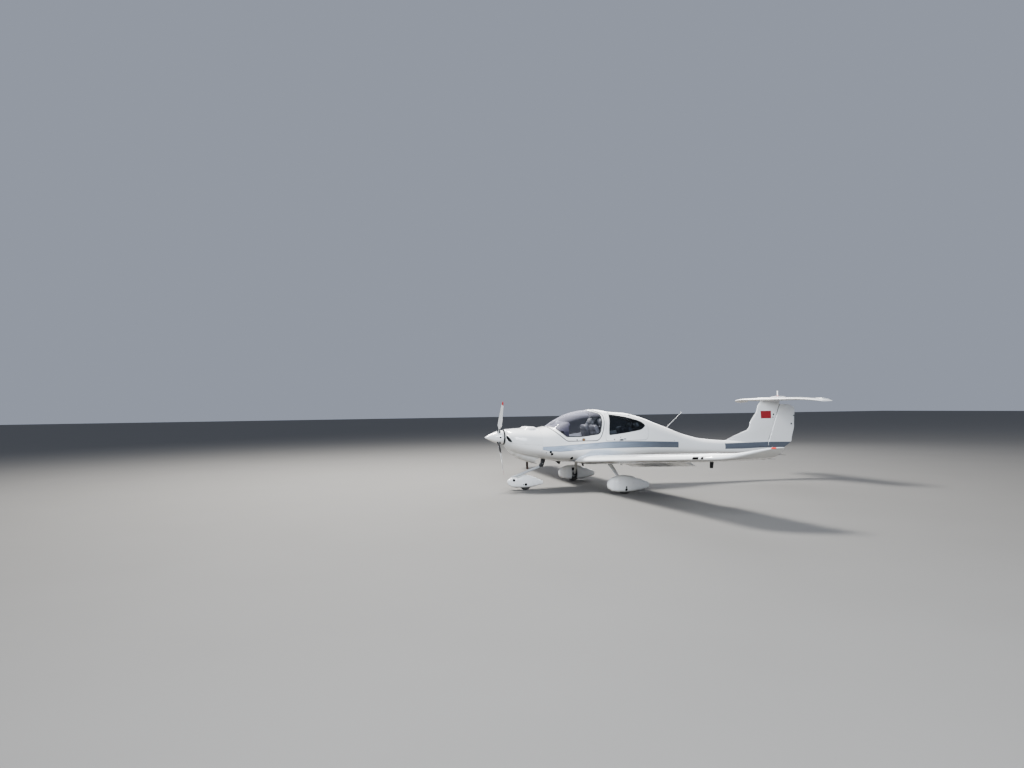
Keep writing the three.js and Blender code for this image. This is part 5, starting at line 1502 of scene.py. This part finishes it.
def wheel_pieces(wheel, out, name, tyre, body):
    aft, radius, half, rim = (wheel[k] for k in ("aft", "radius", "half", "rim"))
    wall = [
        (-half * 0.62, rim + 0.6), (-half * 0.72, rim + 5), (-half * 0.84, rim + 16),
        (-half * 0.97, rim + 36), (-half, rim + 52), (-half * 0.985, radius - 34),
        (-half * 0.93, radius - 22), (-half * 0.78, radius - 9), (-half * 0.6, radius - 4),
        (-half * 0.48, radius - 1.5),
    ]
    grooves = [(-half * 0.46, radius - 1.4)]
    for middle in (-0.3, -0.1, 0.1, 0.3):
        for offset, depth in ((-0.045, 0), (-0.03, 5), (0.03, 5), (0.045, 0)):
            grooves.append((half * (middle + offset), radius - depth))
    profile = wall + grooves + [(-a, r) for a, r in reversed(wall)]
    tread = lathe(f"{name}_tyre_tread", profile, (aft, out, radius), (0, 1, 0), 72)
    bore = tube("bore", [(aft, out - half, radius), (aft, out + half, radius)], rim + 0.5, 72)
    finished(combined(tread, [bore]), tyre_rubber, body, [tyre], 40)
    bolts = []
    for c, s in zip(*circle(8)):
        for sign in SIDES.values():
            at = (aft + 42 * c, out + sign * half * 0.3, radius + 42 * s)
            bolts.append(disc("bolt", at, (0, sign, 0), 5, 5, 10))
    finished(join(f"{name}_wheel_bolts", bolts), chrome, body)


def nose_gear():
    aft, seat, near = CASTER["aft"], CASTER["seat"], CASTER["room"]
    body = loft("nose_pant_skin", pant_rings(NOSE_PANT, 0))
    crown = box("crown", 598, 700, -70, 70, 200, seat + 4)
    arms = box("arms", 622, 945, -78, 78, 125, seat + 4)
    socket_room = tube("socket_room", [(aft, 0, seat - 4), (aft, 0, 420)], near, 40)
    (x0, z0, _), (x1, z1, _) = NOSE_LEG[:2]
    back = aft + 280
    floor = [(x, z0 + (x - x0) * (z1 - z0) / (x1 - x0) - 46) for x in (aft, back)]
    slot = side_prism("slot", [*floor, (back, 420), (aft, 420)], -250, 250)
    wide = near + 160
    corners = [(aft - 1, -near), (back - 1, -wide), (back - 1, wide), (aft - 1, near)]
    slot = combined(slot, [plan_prism("fan", corners, 200, 450)], "INTERSECT")
    body = combined(body, [*wheel_room(NOSE, 0), crown, arms, socket_room, slot])
    finished(body, dusty, "nose_fork", ["nose_pant"])
    # painted shade in the fairing's holes
    marks = [pant_patch(NOSE_PANT, 0, side, *spot) for spot in NOSE_PANT_HOLES for side in SIDES.values()]
    finished(join("nose_pant_holes", marks), hole_shade, "nose_fork")
    socket = lathe("nose_socket", [(0, 33), (2, 34), (50, 34), (58, 29)], (aft, 0, seat), (0, 0, 1), 32)
    path = rounded(NOSE_LEG, 9)
    radii = np.interp(path[:, 0], *zip(*NOSE_LEG_RADII))
    leg = tube("leg", columns(path[:, 0], 0, path[:, 1]), radii, 28)
    finished(join("nose_leg_skin", [socket, leg]), grey, stands_for=["nose_leg"])
    mount = bevelled(side_prism("mount", NOSE_LEG_MOUNT, -46, 46), 6)
    mount = combined(mount, [loft("cutter", hull_rings(stations(1100, 1700, 50), -1.0))])
    mount.name = "nose_leg_mount"
    finished(mount, steel)
    finished(tube("nose_leg_bolt", [(1312, -54, 566), (1312, 54, 566)], 9, 18), chrome)


# Power plant
def round_shaft(angle, aft, reach, across=0.0):
    """A point round the shaft: an angle, a reach from it and a measure across that reach."""
    c, s = math.cos(angle), math.sin(angle)
    return np.stack(np.broadcast_arrays(aft, reach * c - across * s, SHAFT + reach * s + across * c), axis=-1)


def blade(angle):
    """One blade: round at its root, then a twisted section that thins out to the tip."""
    shape = foil(0.22, (0.03, 0.4), 16) - [0.5, 0]
    rings = []
    reaches = np.unique(np.concatenate([np.linspace(60, 870, 26), np.linspace(870, 900, 8)]))
    for reach, chord, thick, pitch in curve_through(BLADE)(reaches):
        share = min(1, max(0, (reach - 120) / 160))
        stem = np.column_stack(circle(len(shape))) * [chord / 2, thick / 2]
        thin = np.roll((-shape * [chord, thick / 0.22])[::-1], 1, axis=0)
        across, deep = (stem * (1 - share) + thin * share).T
        c, s = math.cos(math.radians(pitch)), math.sin(math.radians(pitch))
        rings.append(round_shaft(angle, PROPELLER_AFT + across * s + deep * c, reach, across * c - deep * s))
    return loft("blade", rings)


def propeller():
    angles = np.radians(BLADE_ANGLES)
    finished(join("propeller_blades", [blade(a) for a in angles]), blades, "propeller", ["propeller"], 40)
    finished(tube("propeller_hub", [(230, 0, SHAFT), (SPINNER_LENGTH, 0, SHAFT)], 72, 48), steel, "propeller")
    outside, inside = SPINNER_RADIUS + 1, SPINNER_RADIUS - 12
    profile = [(t * CONE, spinner_radius(t * CONE)) for t in np.linspace(0.002, 1, 30)]
    profile += [(380, outside), (394, outside), (394, inside), (350, inside), (220, 100), (160, 70), (160, 1)]
    cone = lathe("spinner_skin", profile, (0, 0, SHAFT), (1, 0, 0), 96)

    def along_blade(name, reaches, radius, sides):
        return [
            tube(name, [round_shaft(a, PROPELLER_AFT, reach) for reach in reaches], radius, sides)
            for a in angles
        ]

    rooms = along_blade("blade_room", (60, 300), 47, 40)
    finished(combined(cone, rooms), white, "propeller", ["spinner"], 35)
    plate = lathe("spinner_plate", [(380, inside - 1), (392, inside - 1)], (0, 0, SHAFT), (1, 0, 0), 96)
    finished(plate, steel, "propeller")
    screws = [
        disc("screw", round_shaft(a, 384, SPINNER_RADIUS + 0.4), (0, math.cos(a), math.sin(a)), 4.5, 1.6, 12)
        for a in np.linspace(0, 2 * np.pi, 18, endpoint=False) + 0.17
    ]
    finished(join("spinner_screws", screws), chrome, "propeller")
    cuffs = along_blade("cuff", (70, 150, 156), [43, 43, 40], 32)
    finished(join("blade_cuffs", cuffs), blades, "propeller")
    # the spinner's plugs are flat black: painted shade
    plugs = []
    for a in angles + math.pi:
        def place(along, across, lift):
            reach = spinner_radius(PLUG_AFT + along) + lift
            return round_shaft(a + across / SPINNER_RADIUS, PLUG_AFT + along, reach)

        plugs.append(patch(place, 20))
    finished(join("spinner_plugs", plugs), hole_shade, "propeller")


def spinner_radius(aft):
    t = min(1.0, aft / CONE)
    return SPINNER_RADIUS * (1 - (1 - t) ** 1.3) ** 0.85 + 1


def exhaust():
    aft, out, foot, radius = (EXHAUST[k] for k in ("aft", "out", "foot", "radius"))
    bend = [(aft + 1, out, 560), (aft + 4, out, 500)]
    path = [(aft, out, 850), (aft, out, 640), *bend, (aft + 9, out, foot)]
    end = [(aft + 6, out, foot + 38), (aft + 9, out, foot + 0.5)]
    bore = [*bend, (aft + 10, out, foot - 10)]
    pipe = combined(tube("exhaust_wall", path, radius, 32), [tube("room", bore, radius - 3, 32)])
    finished(pipe, soot, stands_for=["exhaust_pipe"])
    end = combined(tube("exhaust_end_wall", end, radius + 0.4, 32), [tube("room", bore, radius - 3.3, 32)])
    finished(end, rusty)


# Small fittings on the fuselage
def fittings():
    for name, side in SIDES.items():
        fasteners = [
            disc("fastener", *on_hull(aft, split_line(aft) + 16, side, 0.3), 9.5, 1.6, 20)
            for aft in COWL_FASTENERS
        ]
        screws = [
            disc("screw", *on_hull(FIREWALL - 18, height, side, 0.2), 5, 1.4, 12)
            for height in FIREWALL_SCREWS
        ]
        finished(join(f"cowl_fasteners_{name}", fasteners), chrome)
        finished(join(f"firewall_screws_{name}", screws), grey)
        # the ports are flat black: painted shade in them
        hull_marks(f"side_ports_{name}", SIDE_PORTS, side, hole_shade)
        hull_marks(f"boom_marks_{name}", BOOM_MARKS, side, rubber)
        finished(hull_patch(*CANOPY_MARK, side, 15), hole_shade, "canopy")
        plate_on_hull(f"canopy_latch_recess_{name}", LATCH_RECESS, side, grey, "canopy")
        plate_on_hull(f"canopy_latch_{name}", LATCH, side, bronze, "canopy")
    plate_on_hull("door_handle_recess", DOOR_RECESS, -1, grey, "rear_door")
    # the door's handle and marks are flat black: painted shade
    plate_on_hull("door_handle", DOOR_HANDLE, -1, hole_shade, "rear_door")
    plate_on_hull("door_lock", DOOR_LOCK, -1, pale_glass, "rear_door")
    hull_marks("door_marks", DOOR_MARKS, -1, hole_shade, "rear_door")
    aft, out = OIL_DOOR
    for name, size, lifts, material in (
        ("oil_door", (75, 55, 22), (-1.0, 1.2), white),
        ("oil_door_seam", (78.75, 58.85, 24), (-2.0, 0.5), rubber),
    ):
        flat = rounded(oblong(*size), 6)
        rings = [[on_roof(aft + a, out + b, lift) for a, b in flat] for lift in lifts]
        finished(loft(name, rings), material)


def hull_marks(name, spots, side, material, body="airframe"):
    """Round marks on the fuselage's side: aft, height, radius, and height against width where it is flat."""
    marks = [hull_patch(aft, height, side, *size) for aft, height, *size in spots]
    finished(join(name, marks), material, body)


def oblong(half_long, half_wide, radius):
    """The four corners of an oblong outline."""
    return [(i * half_long, j * half_wide, radius) for i, j in ((-1, -1), (1, -1), (1, 1), (-1, 1))]


def plate_on_hull(name, spot, side, material, body):
    """A rounded plate that lies on the fuselage's side."""
    aft, height, long, high, thick = spot
    at, normal = on_hull(aft, height, side)
    u = on_hull(aft + 4, height, side)[0] - at
    u /= np.linalg.norm(u)
    v = np.cross(normal, u) * side
    v *= np.sign(v[2])
    flat = rounded(oblong(long / 2, high / 2, min(long, high) * 0.45), 6)
    plate = loft(name, [
        [at + u * a * shrink + v * b * shrink + normal * lift for a, b in flat]
        for lift, shrink in ((-3, 1), (thick * 0.7, 1), (thick, 0.9))
    ])
    finished(plate, material, body)


# Cabin inside
def cushion(size, crown=0.0, grooves=(), depth=0.0, power=5.0, count=26, waist=0.0):
    """A stuffed pad in its own frame: long, wide, thick, with sewn grooves across its upper face."""
    thick = size[2]
    points, faces = [], []
    for axis in range(3):
        for sign in (-1, 1):
            start = len(points)
            for a in np.linspace(-1, 1, count):
                for b in np.linspace(-1, 1, count):
                    points.append(np.roll([sign, a, b], axis))
            corners = [start + i * count + j for i in range(count - 1) for j in range(count - 1)]
            faces += [(k, k + 1, k + count + 1, k + count) for k in corners]
    p = np.array(points)
    x, y, z = (p / (np.abs(p) ** power).sum(axis=1, keepdims=True) ** (1 / power)).T
    lift = np.clip(z, 0, 1)
    z = z + crown / thick * 2 * (1 - x ** 2) * (1 - y ** 2) * lift
    for direction, place, width in grooves:
        across = y if direction == "y" else x
        z = z - depth / thick * 2 * np.exp(-((across - place) / width) ** 2) * lift
    z = z + 0.012 * np.sin(x * 9 + y * 4) * np.sin(y * 11 - x * 3) * lift
    return columns(x, y * (1 - waist * x ** 2), z) * size / 2, faces


def pad(name, size, at, pitch, material, **shape):
    """A cushion turned nose up by the pitch and carried to its place."""
    local, faces = cushion(size, **shape)
    c, s = math.cos(math.radians(pitch)), math.sin(math.radians(pitch))
    x, y, z = local.T
    obj = build(name, columns(x * c - z * s, y, x * s + z * c) + at, faces)
    return finished(obj, material, angle=60)


def seats():
    for name, side in SIDES.items():
        y = side * 285
        base = side_prism(f"front_seat_base_{name}", FRONT_SEAT, y - 200, y + 200)
        finished(bevelled(base, 8), trim, stands_for=[f"seat_front_{name}"])
        pad(f"front_seat_cushion_{name}", (480, 410, 120), (2190, y, 930), 7, leather, crown=14,
            grooves=SEAT_GROOVES, depth=11)
        pad(f"front_seat_back_{name}", (520, 400, 110), (2505, y, 1165), 106.5, leather, crown=12,
            grooves=BACK_GROOVES, depth=10, waist=0.1)
        pad(f"front_headrest_{name}", (150, 230, 90), (2622, y, 1478), 106.5, leather_light, crown=8,
            power=3.2)
        for place, offset in (("in", -45), ("out", 45)):
            post = [(2618, y + offset, 1370), (2634, y + offset, 1440)]
            finished(tube(f"headrest_post_{name}_{place}", post, 6, 12), chrome)
        for place, offset in (("a", -95), ("b", 95)):
            path = [(aft, y + offset * share, height) for aft, share, height in BELT]
            belt(f"front_belt_{name}_{place}", path)
        finished(box(f"front_buckle_{name}", 2300, 2350, y - 26, y + 26, 998, 1016, 4), chrome)
    finished(bevelled(side_prism("rear_bench_base", REAR_SEAT, -405, 405), 8), trim, stands_for=["seat_rear"])
    for name, side in SIDES.items():
        y = side * 200
        pad(f"rear_seat_cushion_{name}", (460, 392, 120), (3090, y, 935), 5, leather, crown=12,
            grooves=SEAT_GROOVES, depth=10)
        pad(f"rear_seat_back_{name}", (460, 385, 105), (3400, y, 1140), 116, leather, crown=10,
            grooves=BACK_GROOVES, depth=9, waist=0.12)
        pad(f"rear_headrest_{name}", (120, 210, 80), (3545, y * 0.92, 1390), 116, leather_light, crown=7,
            power=3.2)


def belt(name, path):
    """Flat webbing that lies over a seat."""
    path = smooth_path(path, 30)
    rings = []
    for point, w in zip(path, directions(path)):
        u, v = squared(np.array([0, 1.0, 0]), w)
        rings.append([point + u * a + v * b for a, b in ((-23, -1.2), (23, -1.2), (23, 1.2), (-23, 1.2))])
    finished(loft(name, rings), webbing, angle=60)


def panel():
    """The hood over the instruments, the panel's face and what is on it."""
    hood = loft("panel_hood", hull_rings(stations(1440, 1900, 24), 78))
    hood = combined(hood, [side_prism("outline", PANEL_HOOD, -430, 430)], "INTERSECT")
    wall = loft("panel_wall", hull_rings(stations(1640, 1850, 30), 36))
    wall = combined(wall, [box("foot", 1690, 1800, -900, 900, 950, 1040)], "INTERSECT")
    finished(bevelled(combined(hood, [wall], "UNION"), 6), hood_trim, stands_for=["instrument_panel"])
    face = PANEL_FACE
    bezels = [centred_box("bezel", (face + 1, y, 1230), (9, 135, 95), 4) for y in (-215, 75)]
    screens = [centred_box("screen", (face + 10, y, 1230), (2, 117, 79)) for y in (-215, 75)]
    knobs = []
    for y in (-330, -60, 220):
        for z in (1150, 1190, 1230, 1270, 1310):
            knobs.append(lathe("knob", KNOB, (face + 4, y, z), (1, 0, 0), 18))
    knobs += [centred_box("switch", (face + 7, y, 1087), (9, 7, 9), 2) for y in np.linspace(-330, 250, 12)]
    for y in (300, 345):
        for z in (1170, 1240):
            knobs.append(lathe("gauge", GAUGE, (face - 2, y, z), (1, 0, 0), 32))
    finished(join("panel_bezels", bezels), trim)
    finished(join("panel_screens", screens), screen)
    finished(join("panel_knobs", knobs), trim)
    levers = []
    for y, z in ((-32, 1010), (0, 1006), (32, 1002)):
        levers.append(tube("stem", [(1796, y, z - 50), (1850, y, z)], 5, 12))
        levers.append(lathe("grip", LEVER_GRIP, (1846, y, z - 4), (1, 0, 0.8), 20))
    finished(join("engine_levers", levers), trim)
    body = lathe("compass", [(-24, 20), (-20, 27), (20, 27), (26, 20)], (1690, 0, 1490), (1, 0, 0), 32)
    stand = box("stand", 1676, 1706, -12, 12, 1430, 1472, 3)
    finished(join("compass_case", [body, stand]), lining)
    finished(disc("compass_glass", (1715, 0, 1490), (1, 0, 0), 18, 3, 28), screen)


def controls():
    """Boots and grips of the two sticks, and the pedals."""
    boot = [(0, 52), (8, 50), (16, 40), (26, 41), (36, 30), (46, 30), (58, 19), (66, 14)]
    grip = [(0, 14), (6, 20), (40, 17), (80, 21), (118, 23), (136, 19), (142, 8)]
    for name, side in SIDES.items():
        y = side * 290
        finished(lathe(f"stick_boot_{name}", boot, (1880, y, 721), (-0.05, 0, 1), 28), leather)
        finished(lathe(f"stick_grip_{name}", grip, (1861, y, 930), (-0.085, 0, 1), 28), trim)
        pedals = []
        for out in (y * 0.86 - 75, y * 0.86 + 75):
            pedals.append(centred_box("pedal", (1378, out, 862), (6, 38, 50), 4))
            pedals.append(tube("arm", [(1378, out, 722), (1378, out, 830)], 8, 12))
        finished(join(f"pedals_{name}", pedals), steel)


# Nodes of the part that show as they are
def dress_nodes():
    chosen = {
        "white_gelcoat": white, "tinted_glass": tinted, "cabin_trim": carpet, "seat_leather": leather,
        "tyre_rubber": tyre_rubber, "rim_alloy": alloy, "gear_steel": steel, "grey_paint": grey,
        "engine_metal": engine, "exhaust_steel": soot,
    }
    for row in frame["record"]["subparts"]:
        stick = row["node"].startswith("control_stick")
        for slot in frame["nodes"][row["node"]].material_slots:
            slot.material = trim if stick else chosen[row["material_slot"]]


def camera():
    """The photograph's view: yaw, pitch and roll of a level frame, and a lens for 1024 by 768 pixels."""
    forward = Vector((math.sin(YAW) * math.cos(PITCH), math.cos(YAW) * math.cos(PITCH), math.sin(PITCH)))
    right = Vector((math.cos(YAW), -math.sin(YAW), 0))
    up = right.cross(forward)
    side = right * math.cos(ROLL) + up * math.sin(ROLL)
    top = up * math.cos(ROLL) - right * math.sin(ROLL)
    data = bpy.data.cameras.new("camera")
    data.sensor_width = SENSOR
    data.lens = LENS_PIXELS / IMAGE_WIDTH * SENSOR
    data.clip_end = 500
    made = placed("camera", data)
    turn = Matrix((side, top, -forward)).transposed().to_4x4()
    made.matrix_world = Matrix.Translation(CAMERA_AT) @ turn
    bpy.context.scene.camera = made


def studio():
    """A plain pale floor, a soft sky and three soft lamps."""
    ground = bpy.data.meshes.new("floor")
    corners = [(i * FLOOR_REACH, j * FLOOR_REACH, 0) for i, j in ((-1, -1), (1, -1), (1, 1), (-1, 1))]
    ground.from_pydata(corners, [], [(0, 1, 2, 3)])
    floor = placed("floor", ground)
    paint = Paint("floor", 0.85)
    paint.colour(paint.mix(paint.noise(0.6, 4), *FLOOR_TONES))
    ground.materials.append(paint.material)
    world = bpy.data.worlds.new("studio")
    bpy.context.scene.world = world
    world.use_nodes = True
    sky = world.node_tree.nodes["Background"].inputs
    sky[0].default_value = (0.74, 0.82, 1.0, 1)
    sky[1].default_value = 0.42
    for name, spot, size, power, tint in LAMPS:
        lamp = bpy.data.lights.new(name, "AREA")
        lamp.size, lamp.energy, lamp.color = size, power, tint
        obj = placed(name, lamp)
        obj.location = spot
        aim = Vector((0, 0, 0.9)) - Vector(spot)
        obj.rotation_euler = aim.to_track_quat("-Z", "Y").to_euler()


cowls()
cabin()
for name, side in SIDES.items():
    wing(name, side)
tail()
for name, side in SIDES.items():
    main_gear(name, side)
nose_gear()
wheel_pieces(NOSE, 0, "nose", "nose_tyre", "nose_wheel")
for name, side in SIDES.items():
    wheel_pieces(MAIN, side * MAIN["out"], f"main_{name}", f"main_tyre_{name}", f"main_wheel_{name}")
propeller()
exhaust()
fittings()
seats()
panel()
controls()
dress_nodes()
camera()
studio()
